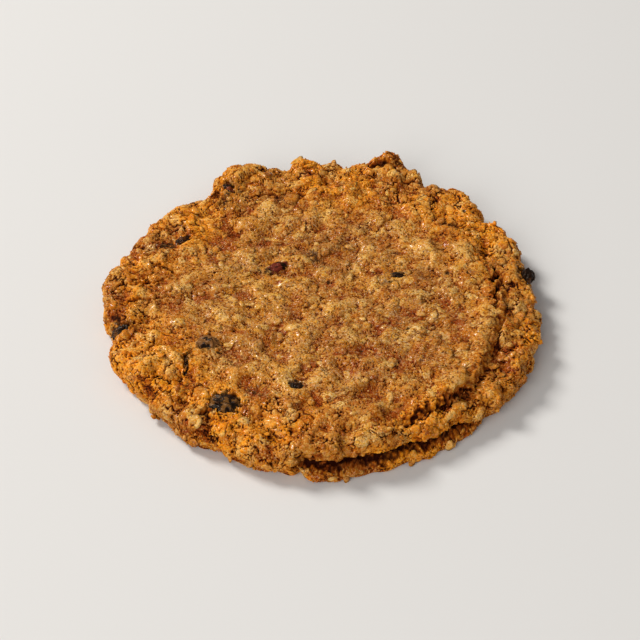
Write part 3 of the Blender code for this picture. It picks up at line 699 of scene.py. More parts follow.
# Dough that has slumped into the step beside the middle: x, y, half sizes, rise.
SLUMPS = {
    "right": (81.0, -22.0, 5.0, 14.0, 1.9), "right back": (87.0, 8.0, 4.0, 16.0, 1.5),
    "right clump": (83.0, -11.0, 4.0, 5.0, 1.2), "right front": (76.0, -38.0, 4.0, 5.0, 1.0),
}
slump_plan = np.zeros_like(plan_x)
for cx, cy, long, wide, rise in SLUMPS.values():
    away = oval_distance(plan_x, plan_y, cx, cy, long, wide, 0.0) * (1.0 + 0.15 * band_noise(6.0, rng))
    slump_plan += rise * np.exp(-away ** 3)


def wall_share(x, y, normal):
    """One on steep walls in the top and in the split, where crumb that varies with depth takes the
    place of the plan's, and zero elsewhere."""
    angle = bearing(x, y)
    from_rim = np.hypot(x, y) - border_radius(angle)
    steep = smooth_step((0.90 - normal[..., 2]) / 0.2) * smooth_step((-1.0 - from_rim) / 3.0)
    return np.maximum(steep, 0.9 * split_share(angle) * np.exp(-((from_rim - 11.5) / 5.5) ** 2))


def crust_relief(x, y, form, normal):
    """Height of the crumb over the plain crust, fading out where the foot meets the floor."""
    wall = wall_share(x, y, normal)
    relief = read_plan(relief_plan, x, y) * (1.0 - wall) + read_block(form) * wall
    relief = relief + read_plan(slump_plan, x, y)
    return relief * smooth_step((crust_reach(bearing(x, y)) - np.hypot(x, y)) / FOOT_FADE)


def crust_place(x, y, normal):
    """Places on the crust with its crumb."""
    form = crust_form(x, y)
    return form + normal * crust_relief(x, y, form, normal)[:, None]


# The dough.
# The body of the cookie: brown sugar and butter dough with oats, browned most at the rim. Its crust is
# one surface, made in four quarters that meet edge to edge, over a flat underside.
DOUGH_CELLS = 600
UNDER_CELLS = 150
UNDER_INSET = 6.0
NORMAL_PASSES = 24
PORE_SPACING = 1.25


def linear(hex_colour):
    """An sRGB hex colour as linear red, green, blue and one."""
    parts = [int(hex_colour[k:k + 2], 16) / 255.0 for k in (1, 3, 5)]
    return [p / 12.92 if p <= 0.04045 else ((p + 0.055) / 1.055) ** 2.4 for p in parts] + [1.0]


def add_node(tree, kind, inputs=None, **settings):
    """A node of a kind with its settings; an input is a value, or the socket that feeds it."""
    node = tree.nodes.new(kind)
    for name, value in settings.items():
        setattr(node, name, value)
    for name, value in (inputs or {}).items():
        if isinstance(value, bpy.types.NodeSocket):
            tree.links.new(value, node.inputs[name])
        else:
            node.inputs[name].default_value = value
    return node


def mesh_piece(name, points, faces, material, fields=None, flat=False):
    """A piece in metres from points in millimetres, its triangles or quads and its named fields."""
    points = (points - np.array(MIDDLE_OFFSET)) * MM
    mesh = bpy.data.meshes.new(name)
    corners = faces.shape[1]
    mesh.vertices.add(len(points))
    mesh.vertices.foreach_set("co", points.astype(np.float32).ravel())
    mesh.loops.add(faces.size)
    mesh.loops.foreach_set("vertex_index", faces.astype(np.int32).ravel())
    mesh.polygons.add(len(faces))
    mesh.polygons.foreach_set("loop_start", np.arange(0, faces.size, corners, dtype=np.int32))
    mesh.update(calc_edges=True)
    mesh.validate()
    if not flat:
        mesh.shade_smooth()
    for field, values in (fields or {}).items():
        layer = mesh.attributes.new(field, "FLOAT", "POINT")
        layer.data.foreach_set("value", values.astype(np.float32))
    mesh.materials.append(material)
    piece = bpy.data.objects.new(name, mesh)
    bpy.context.scene.collection.objects.link(piece)
    return piece


def disc_grid(cells):
    """A square grid bent into a unit disc, ring for ring, with even cells: radii and angles."""
    line = np.linspace(-1.0, 1.0, cells + 1)
    u, v = np.meshgrid(line, line, indexing="ij")
    wide = np.abs(u) > np.abs(v)
    u_safe = np.where(wide, u, 1.0)
    v_safe = np.where(wide | (v == 0.0), 1.0, v)
    radius = np.where(wide, u, v)
    angle = np.where(wide, 45.0 * v / u_safe, 90.0 - 45.0 * u / v_safe)
    return np.abs(radius), angle + np.where(radius < 0.0, 180.0, 0.0)


def grid_faces(cells):
    """The quads of a square grid of points, turned to face up."""
    i, j = (g.ravel() for g in np.meshgrid(np.arange(cells), np.arange(cells), indexing="ij"))
    at = i * (cells + 1) + j
    return np.stack([at, at + cells + 1, at + cells + 2, at + 1], -1)


def grid_border(cells):
    """The numbers of a square grid's border points, once round."""
    k = np.arange(cells)
    row = np.concatenate([k, np.full(cells, cells), cells - k, np.zeros(cells, int)])
    column = np.concatenate([np.zeros(cells, int), k, np.full(cells, cells), cells - k])
    return row * (cells + 1) + column


# Noise in the dough's colour and gloss: size in millimetres, detail, roughness. The speck and the fleck
# stand for sugar grains and oat dust, which are finer, and are drawn this coarse to show.
DOUGH_NOISE = {
    "patch": (26.0, 2.0, 0.6), "blotch": (9.0, 3.0, 0.6), "syrup": (6.0, 4.0, 0.7), "breaks": (5.0, 2.0, 0.6),
    "pitting": (3.0, 2.0, 0.6), "wave": (2.6, 2.0, 0.6), "crumb": (1.5, 3.0, 0.6), "glaze": (1.4, 3.0, 0.6),
    "fleck": (0.9, 2.0, 0.6), "speck": (0.55, 2.0, 0.6),
}

# Shares: the value that each follows, where it starts and ends in that, and the share at those two.
DOUGH_SHARES = {
    "on_wave": ("off_wave", 0.0, 0.03, 1.0, 0.0), "broken": ("breaks", 0.42, 0.62, 0.0, 1.0),
    "pit": ("cell", 0.18, 0.32, 1.0, 0.0), "pitted": ("pitting", 0.58, 0.70, 0.0, 1.0),
    "brown_patch": ("patch", 0.38, 0.64, 0.0, 0.75), "brown_blotch": ("blotch", 0.45, 0.70, 0.0, 0.5),
    # golden and browned follow the tone field, and so carry its painted light and shade as well.
    "golden": ("tone", 0.2, 2.2, 0.0, 0.65), "browned": ("tone", -0.1, -1.8, 0.0, 0.8),
    "light_crumb": ("crumb", 0.53, 0.70, 0.0, 0.45), "dark_crumb": ("crumb", 0.47, 0.30, 0.0, 0.65),
    "syrupy": ("syrup", 0.46, 0.66, 0.0, 0.9), "dried": ("syrup", 0.42, 0.30, 0.0, 0.45),
    "amber_fleck": ("fleck", 0.48, 0.60, 0.0, 0.9), "oat_fleck": ("fleck", 0.42, 0.30, 0.0, 0.6),
    "dark_speck": ("speck", 0.58, 0.72, 0.0, 0.36), "less_baked": ("bake", 0.0, 1.0, 1.0, 0.4),
    # hollow_shaded and deep lay painted shade where the hollow field is high.
    "light_speck": ("speck", 0.40, 0.28, 0.0, 0.5), "hollow_shaded": ("hollow", 0.12, 0.6, 0.0, 0.75),
    "not_golden": ("tone", 0.0, 0.8, 0.65, 0.1), "deep": ("hollow", 0.42, 0.95, 0.0, 0.97),
    "stained": ("stain", 0.0, 1.0, 0.0, 0.93), "glazed": ("glaze", 0.46, 0.60, 0.0, 1.0),
    "unhollowed": ("hollow", 0.0, 0.25, 0.85, 0.0),
}

# Shares that are the product of two others, or of one and a number.
DOUGH_PRODUCTS = {
    # hairline_shade and pore_shade are painted shade in the hairline cracks and pores.
    "hairline": ("on_wave", "broken"), "hairline_shade": ("hairline", 0.7), "pore": ("pit", "pitted"),
    "pore_shade": ("pore", "not_golden"), "unbaked_speck": ("dark_speck", "less_baked"),
    "wet": ("glazed", "unhollowed"),
}

# Colours that change with the bake, over the middle and on the rim.
DOUGH_TINTS = {
    "crust": ("#CE9444", "#EE9A1A"), "dry": ("#CFAA7E", "#EAAE40"), "oaten": ("#D8BA90", "#E2B25A"),
    "amber": ("#F7E4A0", "#F0D468"),
}

# The colours laid over the crust's own one after another: the share of each, its colour, how it mixes. Those
# that follow the hollow field, the hairlines and the pores lay painted shade, near black in the deepest.
DOUGH_LAYERS = (
    ("brown_patch", "#A4682C", "MIX"), ("brown_blotch", "#B05E16", "MIX"), ("golden", "#E4B96E", "MIX"),
    ("browned", "#8A3203", "MIX"), ("pale", "#E4BC78", "MIX"), ("light_crumb", "#E6B86A", "MIX"),
    ("dark_crumb", "#8C3606", "MIX"), ("syrupy", "amber", "MULTIPLY"), ("dried", "dry", "MIX"),
    ("amber_fleck", "#F3D660", "MULTIPLY"), ("oat_fleck", "oaten", "MIX"),
    ("unbaked_speck", "#5C1C02", "MIX"), ("light_speck", "#E2C69A", "MIX"), ("hollow_shaded", "#782A04", "MIX"),
    ("hairline_shade", "#4A1802", "MIX"), ("pore_shade", "#360E02", "MIX"), ("deep", "#220400", "MIX"),
    ("stained", "#38210F", "MIX"),
)


def browned_oat_dough(name, grain):
    """Baked oat dough, broken and buttery: tan in the middle, orange brown on the rim, with paler oats
    and fruit stains, and painted shade near black in its creases, pores and hairline cracks. Its colour
    follows the fields bake, tone, pale, hollow and stain, where hollow is painted shade and tone carries
    painted light and shade too, and a thin glaze of butter and sugar gives it its glints."""
    material = bpy.data.materials.new(name)
    material.use_nodes = True
    tree = material.node_tree
    shader = tree.nodes["Principled BSDF"]
    place = add_node(tree, "ShaderNodeTexCoord").outputs["Object"]
    value = {field: add_node(tree, "ShaderNodeAttribute", attribute_name=field).outputs["Fac"]
             for field in ("bake", "tone", "pale", "hollow", "stain")}
    for pattern, (size, detail, rough) in {**DOUGH_NOISE, "grain": (grain, 4.0, 0.6)}.items():
        value[pattern] = add_node(tree, "ShaderNodeTexNoise", {
            "Vector": place, "Scale": 1.0 / (size * MM), "Detail": detail, "Roughness": rough}).outputs["Fac"]
    cell = add_node(tree, "ShaderNodeTexVoronoi", {"Vector": place, "Scale": 1.0 / (PORE_SPACING * MM)})
    value["cell"] = cell.outputs["Distance"]
    off_wave = add_node(tree, "ShaderNodeMath", {0: value["wave"], 1: 0.5}, operation="SUBTRACT").outputs[0]
    value["off_wave"] = add_node(tree, "ShaderNodeMath", {0: off_wave}, operation="ABSOLUTE").outputs[0]
    for share, (source, low, high, to_low, to_high) in DOUGH_SHARES.items():
        value[share] = add_node(tree, "ShaderNodeMapRange", {
            "Value": value[source], "From Min": low, "From Max": high, "To Min": to_low, "To Max": to_high},
            interpolation_type="SMOOTHSTEP").outputs["Result"]
    for share, (first, second) in DOUGH_PRODUCTS.items():
        value[share] = add_node(tree, "ShaderNodeMath", {0: value[first], 1: value.get(second, second)},
                                operation="MULTIPLY").outputs[0]

    tints = {tint: add_node(tree, "ShaderNodeMix", {0: value["bake"], 6: linear(middle), 7: linear(rim)},
                            data_type="RGBA").outputs[2]
             for tint, (middle, rim) in DOUGH_TINTS.items()}
    colour = tints["crust"]
    for share, shade, blend in DOUGH_LAYERS:
        over = tints[shade] if shade in tints else linear(shade)
        colour = add_node(tree, "ShaderNodeMix", {0: value[share], 6: colour, 7: over},
                          data_type="RGBA", blend_type=blend).outputs[2]
    tree.links.new(colour, shader.inputs["Base Color"])

    shader.inputs["Roughness"].default_value = 0.6
    shader.inputs["IOR"].default_value = 1.4
    shader.inputs["Specular IOR Level"].default_value = 0.05
    tree.links.new(value["wet"], shader.inputs["Coat Weight"])
    shader.inputs["Coat Roughness"].default_value = 0.2
    shader.inputs["Coat IOR"].default_value = 1.45
    shader.inputs["Subsurface Weight"].default_value = 0.16
    shader.inputs["Subsurface Radius"].default_value = (1.0, 0.55, 0.3)
    shader.inputs["Subsurface Scale"].default_value = 0.7 * MM

    dents = add_node(tree, "ShaderNodeMath", {0: value["hairline"], 1: value["pore"]}, operation="MAXIMUM")
    height = add_node(tree, "ShaderNodeMath", {0: dents.outputs[0], 1: -0.6, 2: value["grain"]},
                      operation="MULTIPLY_ADD")
    bump = add_node(tree, "ShaderNodeBump", {
        "Height": height.outputs[0], "Strength": 1.0, "Distance": 0.3 * MM})
    tree.links.new(bump.outputs["Normal"], shader.inputs["Normal"])
    return material


dough = browned_oat_dough("browned_oat_dough", 0.9)
share, angle = disc_grid(DOUGH_CELLS)
length = share * crust_reach(angle)
x, y = length * np.cos(np.radians(angle)), length * np.sin(np.radians(angle))
form = crust_form(x.ravel(), y.ravel()).reshape(DOUGH_CELLS + 1, DOUGH_CELLS + 1, 3)
plain = form.copy()
for _ in range(NORMAL_PASSES):
    plain[1:-1] = 0.25 * (plain[:-2] + plain[2:]) + 0.5 * plain[1:-1]
    plain[:, 1:-1] = 0.25 * (plain[:, :-2] + plain[:, 2:]) + 0.5 * plain[:, 1:-1]
normal = np.cross(np.gradient(plain, axis=0), np.gradient(plain, axis=1))
normal /= np.linalg.norm(normal, axis=-1, keepdims=True)
form_normal = np.cross(np.gradient(form, axis=0), np.gradient(form, axis=1))
form_normal /= np.linalg.norm(form_normal, axis=-1, keepdims=True)
crust_points = form + normal * crust_relief(x, y, form, form_normal)[..., None]
crust_points[..., 2] = np.maximum(crust_points[..., 2], 0.0)
wall = wall_share(x, y, form_normal)
wall_level = read_block(form)
# Painted shade on the steep walls: darker where their crumb is low, in cracks and in the split. Their tone is
# painted light, lighter where their crumb stands out.
wall_hollow_shade = 0.15 - 0.6 * wall_level + 0.28 * crack_depth(x, y) + 0.9 * read_plan(in_split, x, y)
wall_hollow_shade = np.clip(wall_hollow_shade, 0.0, 1.0)
crust_fields = {
    "bake": bake_share(x, y),
    "tone": read_plan(tone_light_and_shade_plan, x, y) * (1.0 - wall) + (wall_level - 0.4) * wall,
    "pale": read_plan(pale_plan, x, y) * (1.0 - wall),
    "hollow": read_plan(hollow_shade_plan, x, y) * (1.0 - wall) + wall_hollow_shade * wall,
    "stain": read_plan(stain_plan, x, y),
}
half = DOUGH_CELLS // 2
for quarter, rows, columns in (("right", slice(half, None), slice(half, None)),
                               ("back", slice(0, half + 1), slice(half, None)),
                               ("left", slice(0, half + 1), slice(0, half + 1)),
                               ("front", slice(half, None), slice(0, half + 1))):
    piece = mesh_piece(
        f"dough_{quarter}", crust_points[rows, columns].reshape(-1, 3), grid_faces(half), dough,
        {field: values[rows, columns].ravel() for field, values in crust_fields.items()})
    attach(piece, "root")
    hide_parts("cookie")

# The underside, shallowly dimpled, and the strip of triangles that joins it to the crust's border.
border = crust_points.reshape(-1, 3)[grid_border(DOUGH_CELLS)]
share, angle = (g.ravel() for g in disc_grid(UNDER_CELLS))
radius = share * (outline(angle) - UNDER_INSET)
x, y = radius * np.cos(np.radians(angle)), radius * np.sin(np.radians(angle))
dimple = 0.35 * np.clip(read_plan(soften(relief_plan, 0.8), x, -y), 0.0, 1.5)
dimple *= smooth_step((1.0 - share) / 0.05)
under = np.stack([x, y, dimple], -1)
quads = grid_faces(UNDER_CELLS)[:, ::-1] + len(border)
inner = grid_border(UNDER_CELLS) + len(border)
step = DOUGH_CELLS // UNDER_CELLS
k = np.arange(len(inner))
after = (k + 1) % len(inner)
seam = [np.stack([inner[k], inner[after], (k * step + step // 2) % len(border)], -1)]
for part in range(step):
    near = inner[k] if part < step // 2 else inner[after]
    seam.append(np.stack([near, (k * step + part + 1) % len(border), (k * step + part) % len(border)], -1))
triangles = np.concatenate([quads[:, [0, 1, 2]], quads[:, [0, 2, 3]], *seam])
points = np.concatenate([border, under])
# Painted shade: the underside darker where its dimples rise off the floor.
piece = mesh_piece("dough_underside", points, triangles, dough,
                   {"bake": np.full(len(points), 0.8), "tone": np.full(len(points), 0.1),
                    "pale": np.zeros(len(points)), "hollow": np.clip(points[:, 2] * 2.0, 0.0, 0.8)})
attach(piece, "root")
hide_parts("cookie")


# Oat flakes.
# Rolled oats, steamed and pressed flat, that stand out of the crust at all angles. Most are coated in
# dough and browned with it; some show pale.
FLAKE_AROUND = 12


def frames(normal, turn, tilt, heading):
    """Three unit directions for each bit: its own x and y across the crust, and its own up, which
    leans from the crust's normal by tilt towards a heading."""
    side = np.cross(normal, np.array([0.31, 0.95, 0.12]))
    side /= np.linalg.norm(side, axis=-1, keepdims=True)
    other = np.cross(normal, side)
    lean = side * np.cos(heading)[:, None] + other * np.sin(heading)[:, None]
    up = normal * np.cos(tilt)[:, None] + lean * np.sin(tilt)[:, None]
    along = side * np.cos(turn)[:, None] + other * np.sin(turn)[:, None]
    along -= up * np.sum(along * up, -1, keepdims=True)
    along /= np.linalg.norm(along, axis=-1, keepdims=True)
    return along, np.cross(up, along), up


def ring_faces(around, rings):
    """Triangles of a closed ball of rings: a fan at each end and a band between each two rings."""
    k = np.arange(around)
    n = (k + 1) % around
    last = 1 + around * rings
    parts = [np.stack([0 * k, 1 + k, 1 + n], -1)]
    for ring in range(rings - 1):
        a, b = 1 + around * ring, 1 + around * (ring + 1)
        parts += [np.stack([a + k, b + k, b + n], -1), np.stack([a + k, b + n, a + n], -1)]
    parts.append(np.stack([last + 0 * k, last - around + n, last - around + k], -1))
    return np.concatenate(parts)


def flake_shapes(long, wide, thick, rng):
    """Rolled oats about their own middle: uneven ovals, domed on top with a crease along them, a thin
    edge and a narrower underside, curled along their length."""
    count = len(long)
    turn = np.arange(FLAKE_AROUND) * 2.0 * math.pi / FLAKE_AROUND
    phase = rng.uniform(0.0, 2.0 * math.pi, (4, count, 1))
    uneven = 1.0 + 0.10 * np.sin(2 * turn + phase[0]) + 0.08 * np.sin(3 * turn + phase[1])
    uneven = uneven + 0.06 * np.sin(5 * turn + phase[2])
    curl = rng.normal(0.0, 0.5, (count, 1))
    rings = []
    for share, height in ((0.55, 0.42), (1.0, 0.05), (0.82, -0.45)):
        px = share * uneven * np.cos(turn)
        py = share * uneven * np.sin(turn)
        pz = height + 0.14 * share * np.sin(2 * turn + phase[3]) + curl * px ** 2
        pz = pz - 0.1 * (share < 0.6) * np.exp(-(py / 0.25) ** 2)
        rings.append(np.stack([px * long[:, None], py * wide[:, None], pz * thick[:, None]], -1))
    top = np.stack([0 * long, 0 * long, 0.46 * thick], -1)[:, None]
    foot = np.stack([0 * long, 0 * long, -0.5 * thick], -1)[:, None]
    return np.concatenate([top, *rings, foot], 1)


def place_bits(shapes, at, along, across, up):
    """Shapes about their own middle, turned into their frames and moved to their places."""
    return (at[:, None] + shapes[..., :1] * along[:, None] + shapes[..., 1:2] * across[:, None]
            + shapes[..., 2:] * up[:, None])


def bits_mesh(name, bodies, template, material, fields, flat=False):
    """One joined piece from many bodies that share a template of triangles."""
    count, corners = bodies.shape[:2]
    points = bodies.reshape(-1, 3)
    points[:, 2] = np.maximum(points[:, 2], 0.02)
    faces = (template[None] + np.arange(count)[:, None, None] * corners).reshape(-1, 3)
    fields = {field: np.broadcast_to(values.reshape(count, -1), (count, corners)).ravel()
              for field, values in fields.items()}
    piece = mesh_piece(name, points, faces, material, fields, flat)
    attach(piece, "root")
    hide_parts("cookie")
    return piece


def bit_places(kind, spacing, margin, rng):
    """Seeded places for the bits of the rim or of the middle, and how far on the rim each is."""
    x, y = scatter(spacing, rng, margin)
    rim = rim_share(x, y)
    keep = ((rng.uniform(0.0, 1.0, x.size) < rim) == (kind == "rim")) & open_crust(x, y)
    return x[keep], y[keep], rim[keep]


flake_template = ring_faces(FLAKE_AROUND, 3)
for kind, spacing, seed in (("rim", 6.0, 31), ("middle", 8.0, 32)):
    rng = np.random.default_rng(SEED + seed)
    x, y, rim = bit_places(kind, spacing, 3.5, rng)
    long = rng.uniform(1.3, 3.1, x.size) * np.where(rng.uniform(0, 1, x.size) < 0.12, 1.35, 1.0)
    wide = long * rng.uniform(0.55, 0.85, x.size)
    thick = rng.uniform(0.6, 1.1, x.size)
    normal = crust_normal(x, y)
    tilt = np.abs(rng.normal(0.0, 0.16 + 0.06 * rim, x.size))
    at = crust_place(x, y, normal) + normal * (rng.uniform(-0.45, 0.0, x.size) * thick)[:, None]
    along, across, up = frames(normal, rng.uniform(0, 2 * math.pi, x.size), tilt,
                               rng.uniform(0, 2 * math.pi, x.size))
    shapes = flake_shapes(long, wide, thick, rng)
    is_pale = rng.uniform(0, 1, x.size) < 0.08
    pale = np.where(is_pale, rng.uniform(0.3, 0.8, x.size), rng.uniform(0.0, 0.1, x.size))
    # Painted shade: each flake darker towards its underside, the more so where the crust under it is hollow.
    low = smooth_step(0.5 - shapes[..., 2] / thick[:, None]) * 0.55
    bits_mesh(f"oat_flakes_{kind}", place_bits(shapes, at, along, across, up), flake_template,
              browned_oat_dough(f"browned_rolled_oats_{kind}", 0.8),
              {"bake": bake_share(x, y), "tone": rng.normal(0.3, 0.7, x.size), "pale": pale,
               "hollow": low * (0.4 + 0.6 * read_plan(hollow_shade_plan, x, y))[:, None]})


# Crumbs.
# Nodules of dough and broken oat, rounded and craggy, that the crust breaks into as it bakes. They are
# the same dough, and stay stuck where they formed.
CRUMB_AROUND = 8


def crumb_shapes(radius, rng):
    """Craggy nodules about their own middle: a squat ball of rings whose radius follows a few random
    waves around it."""
    count = len(radius)
    turn = np.arange(CRUMB_AROUND) * 2.0 * math.pi / CRUMB_AROUND
    stretch = rng.uniform(0.75, 1.25, (count, 3)) * np.array([1.1, 0.95, 0.8])
    phase = rng.uniform(0.0, 2.0 * math.pi, (3, count, 1))
    rings = [np.zeros((count, 1, 3)) + [0.0, 0.0, 1.0]]
    for rise in (0.9, 0.2, -0.5, -1.0):
        wave = 1.0 + 0.16 * np.sin(2 * turn + phase[0] + rise) + 0.14 * np.sin(3 * turn + phase[1] - 2 * rise)
        wave = wave + 0.08 * np.sin(4 * turn + phase[2])
        rings.append(np.stack([wave * math.cos(rise) * np.cos(turn), wave * math.cos(rise) * np.sin(turn),
                               wave * math.sin(rise)], -1))
    rings.append(np.zeros((count, 1, 3)) - [0.0, 0.0, 1.0])
    return np.concatenate(rings, 1) * (stretch * radius[:, None])[:, None]


crumb_template = ring_faces(CRUMB_AROUND, 4)
for kind, spacing, seed in (("rim", 9.0, 41), ("middle", 17.0, 42)):
    rng = np.random.default_rng(SEED + seed)
    x, y, rim = bit_places(kind, spacing, 3.0, rng)
    radius = rng.uniform(0.55, 1.15, x.size) * (1.0 + 0.3 * rim)
    normal = crust_normal(x, y)
    at = crust_place(x, y, normal) + normal * (rng.uniform(-0.2, 0.35, x.size) * radius)[:, None]
    along, across, up = frames(normal, rng.uniform(0, 2 * math.pi, x.size),
                               rng.uniform(0.0, 0.5, x.size), rng.uniform(0, 2 * math.pi, x.size))
    shapes = crumb_shapes(radius, rng)
    # Painted shade: each crumb darker towards its underside, the more so where the crust under it is hollow.
    low = smooth_step(0.35 - shapes[..., 2] / radius[:, None]) * 0.7
    bits_mesh(f"crumbs_{kind}", place_bits(shapes, at, along, across, up), crumb_template,
              browned_oat_dough(f"browned_crumbs_{kind}", 0.6),
              {"bake": bake_share(x, y), "tone": rng.normal(0.2, 0.8, x.size),
               "pale": rng.uniform(0.0, 0.12, x.size),
               "hollow": low * (0.4 + 0.6 * read_plan(hollow_shade_plan, x, y))[:, None]})


# Fine crumbs.
# Grains of sugar crust and oat dust under a millimetre across, which give the crust its glitter. They
# lie on it or half sunk in it, and each is a grain of six corners with flat faces.
grain_points = np.array([[0, 0, 1], [1, 0, 0], [0, 1, 0], [-1, 0, 0], [0, -1, 0], [0, 0, -1]], float)
grain_template = ring_faces(4, 1)
rng = np.random.default_rng(SEED + 51)
x, y = scatter(2.6, rng, 3.0)
keep = open_crust(x, y)
x, y = x[keep], y[keep]
normal = crust_normal(x, y)
radius = rng.uniform(0.22, 0.46, x.size)
at = crust_place(x, y, normal) + normal * (rng.uniform(0.0, 0.9, x.size) * radius)[:, None]
along, across, up = frames(normal, rng.uniform(0, 2 * math.pi, x.size), rng.uniform(0.0, 0.9, x.size),
                           rng.uniform(0, 2 * math.pi, x.size))
shapes = grain_points[None] * (radius[:, None] * rng.uniform(0.7, 1.3, (x.size, 3)))[:, None]
# Painted shade: each grain takes part of the crust's hollow shade where it lies.
bits_mesh("fine_crumbs", place_bits(shapes, at, along, across, up), grain_template,
          browned_oat_dough("browned_fine_crumbs", 0.5),
          {"bake": bake_share(x, y), "tone": rng.normal(0.2, 1.0, x.size),
           "pale": rng.uniform(0.0, 1.0, x.size) ** 4 * 0.6,
           "hollow": 0.6 * read_plan(hollow_shade_plan, x, y)}, flat=True)


# Raisins.
# Sun dried grapes: soft, near black, drawn into ridged folds as they dried, with a dull sugary bloom on
# the ridges and a wet gloss in between. Each sits in the hollow that the dough baked round it.
RAISIN_AROUND = 96
RAISIN_ALONG = 60
RAISIN_SQUASH = 0.85
RAISIN_LIFT = 0.8

# Where in the film's noise the dough smeared over each raisin starts, and the smear's colour.
SMEARS = {
    "front_left": (0.50, "#6E4820"), "left_edge": (0.50, "#5A3412"), "back_left": (0.50, "#6A2E10"),
    "left_hollow": (0.50, "#5A3010"), "front_middle": (0.54, "#6E4820"), "middle_left": (0.42, "#7A5028"),
    "left_clump": (0.54, "#6E4820"), "middle_right": (0.54, "#6E4820"), "right_edge": (0.56, "#50301A"),
    "middle_red": (0.47, "#6A2A1C"),
}


def raisin_skin(name, smear_from, smear_colour):
    """Dried grape skin: near black brown, glossy where it is stretched, with pale sugar on its folds
    and dough smeared over part of it."""
    material = bpy.data.materials.new(name)
    material.use_nodes = True
    tree = material.node_tree
    shader = tree.nodes["Principled BSDF"]
    place = add_node(tree, "ShaderNodeTexCoord").outputs["Object"]
    ridge = add_node(tree, "ShaderNodeAttribute", attribute_name="ridge").outputs["Fac"]
    bloom = add_node(tree, "ShaderNodeTexNoise", {"Vector": place, "Scale": 1.0 / (1.3 * MM), "Detail": 3.0})
    dust = add_node(tree, "ShaderNodeMath", {0: ridge, 1: bloom.outputs["Fac"]}, operation="MULTIPLY")
    ramp = add_node(tree, "ShaderNodeValToRGB", {"Fac": dust.outputs[0]})
    stops = ramp.color_ramp.elements
    stops[0].position, stops[0].color = 0.12, linear("#180B05")
    stops[1].position, stops[1].color = 0.62, linear("#74481F")
    middle = stops.new(0.36)
    middle.color = linear("#321808")
    film = add_node(tree, "ShaderNodeTexNoise", {"Vector": place, "Scale": 1.0 / (3.2 * MM), "Detail": 4.0})
    film = add_node(tree, "ShaderNodeMapRange", {
        "Value": film.outputs["Fac"], "From Min": smear_from, "From Max": smear_from + 0.05})
    coated = add_node(tree, "ShaderNodeMix", {
        0: film.outputs["Result"], 6: ramp.outputs["Color"], 7: linear(smear_colour)}, data_type="RGBA")
    tree.links.new(coated.outputs[2], shader.inputs["Base Color"])
    rough = add_node(tree, "ShaderNodeMapRange", {
        "Value": bloom.outputs["Fac"], "From Min": 0.35, "From Max": 0.7, "To Min": 0.2, "To Max": 0.5})
    tree.links.new(rough.outputs["Result"], shader.inputs["Roughness"])
    shader.inputs["IOR"].default_value = 1.47
    shader.inputs["Specular IOR Level"].default_value = 0.16
    shader.inputs["Specular Tint"].default_value = (1.0, 0.82, 0.62, 1.0)
    crinkle = add_node(tree, "ShaderNodeTexNoise", {
        "Vector": place, "Scale": 1.0 / (0.7 * MM), "Detail": 3.0})
    bump = add_node(tree, "ShaderNodeBump", {
        "Height": crinkle.outputs["Fac"], "Strength": 0.6, "Distance": 0.3 * MM})
    tree.links.new(bump.outputs["Normal"], shader.inputs["Normal"])
    return material


def turned(angles):
    """The rotation about x, then y, then z, of three angles in degrees."""
    a, b, c = (math.radians(v) for v in angles)
    about_x = np.array([[1, 0, 0], [0, math.cos(a), -math.sin(a)], [0, math.sin(a), math.cos(a)]])
    about_y = np.array([[math.cos(b), 0, math.sin(b)], [0, 1, 0], [-math.sin(b), 0, math.cos(b)]])
    about_z = np.array([[math.cos(c), -math.sin(c), 0], [math.sin(c), math.cos(c), 0], [0, 0, 1]])
    return about_z @ about_y @ about_x


def raisin_surface(half, seed):
    """A dried grape about its own middle: an oval ball whose radius is cut by ridged folds, each one
    minus the size of a sine wave along a random direction, and the height of its folds."""
    rng = np.random.default_rng(seed)
    turn = np.arange(RAISIN_AROUND) * 2.0 * math.pi / RAISIN_AROUND
    rise = -math.pi / 2.0 + math.pi * np.arange(1, RAISIN_ALONG + 1) / (RAISIN_ALONG + 1)
    rise, turn = np.meshgrid(rise, turn, indexing="ij")
    ball = np.stack([np.sin(rise), np.cos(rise) * np.cos(turn), np.cos(rise) * np.sin(turn)], -1)
    ball = np.concatenate([[[-1.0, 0.0, 0.0]], ball.reshape(-1, 3), [[1.0, 0.0, 0.0]]])
    warp = ball + 0.16 * np.sin(ball[:, [1, 2, 0]] * 5.0 + rng.uniform(0, 6, 3))
    fold = np.zeros(len(ball))
    for waves, deep in ((2.0, 0.10), (2.6, 0.10), (3.7, 0.09), (5.3, 0.07), (7.4, 0.05)):
        way = rng.normal(0.0, 1.0, 3) * np.array([0.45, 1.0, 1.0])
        way /= np.linalg.norm(way)
        fold += deep * (1.0 - 2.0 * np.abs(np.sin(waves * warp @ way * math.pi / 2 + rng.uniform(0, 6))))
    return ball * (1.0 + 0.75 * fold)[:, None] * np.array(half), np.clip(0.5 + 2.2 * fold, 0.0, 1.0)


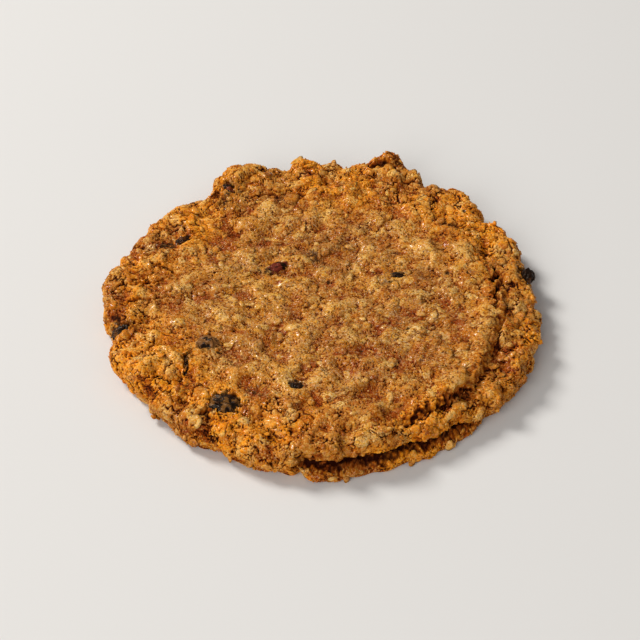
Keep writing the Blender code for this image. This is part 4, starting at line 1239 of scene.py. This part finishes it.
raisin_template = ring_faces(RAISIN_AROUND, RAISIN_ALONG)
for number, (name, (middle, half, angles)) in enumerate(RAISINS.items()):
    surface, ridge = raisin_surface(half, SEED + number)
    points = surface @ turned(angles).T * [1.0, 1.0, RAISIN_SQUASH] + middle + [0.0, 0.0, RAISIN_LIFT]
    piece = mesh_piece(f"dried_raisin_{name}", points, raisin_template,
                       raisin_skin(f"raisin_skin_{name}", *SMEARS[name]), {"ridge": ridge})
    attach(piece, "root")
    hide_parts(f"raisin_{name}")


# Floor and light.
# A plain pale floor under studio light: a soft key from the back left, a larger light from the front
# left, a weak fill from the front right, and an even pale surround.
FLOOR_HALF = 3.0

# Lights: place in metres, side in metres, power in watts, colour.
LIGHTS = {
    "key_light": ((-2.0, 1.36, 2.09), 0.95, 93.0, (1.0, 0.985, 0.95)),
    "front_light": ((-1.2, -2.1, 1.5), 1.9, 48.0, (1.0, 0.98, 0.945)),
    "fill_light": ((1.2, -0.9, 1.3), 1.4, 1.2, (1.0, 1.0, 1.0)),
}

floor_mesh = bpy.data.meshes.new("floor")
floor_mesh.from_pydata([(-FLOOR_HALF, -FLOOR_HALF, 0), (FLOOR_HALF, -FLOOR_HALF, 0),
                        (FLOOR_HALF, FLOOR_HALF, 0), (-FLOOR_HALF, FLOOR_HALF, 0)], [], [(0, 1, 2, 3)])
# Pale matt paper: even, a touch warm, and without gloss.
paper = bpy.data.materials.new("pale_matt_floor")
paper.use_nodes = True
paper_shader = paper.node_tree.nodes["Principled BSDF"]
paper_shader.inputs["Base Color"].default_value = linear("#D7D5D3")
paper_shader.inputs["Roughness"].default_value = 0.9
floor_mesh.materials.append(paper)
floor = bpy.data.objects.new("floor", floor_mesh)
bpy.context.scene.collection.objects.link(floor)

for name, (place, size, power, colour) in LIGHTS.items():
    data = bpy.data.lights.new(name, "AREA")
    data.size = size
    data.energy = power
    data.color = colour
    lamp = bpy.data.objects.new(name, data)
    lamp.location = place
    lamp.rotation_mode = "QUATERNION"
    lamp.rotation_quaternion = (-Vector(place)).to_track_quat("-Z", "Y")
    bpy.context.scene.collection.objects.link(lamp)

world = bpy.data.worlds.new("studio")
world.use_nodes = True
world.node_tree.nodes["Background"].inputs["Color"].default_value = (0.98, 0.97, 0.96, 1.0)
world.node_tree.nodes["Background"].inputs["Strength"].default_value = 0.25
bpy.context.scene.world = world
bpy.context.scene.view_settings.view_transform = "Standard"
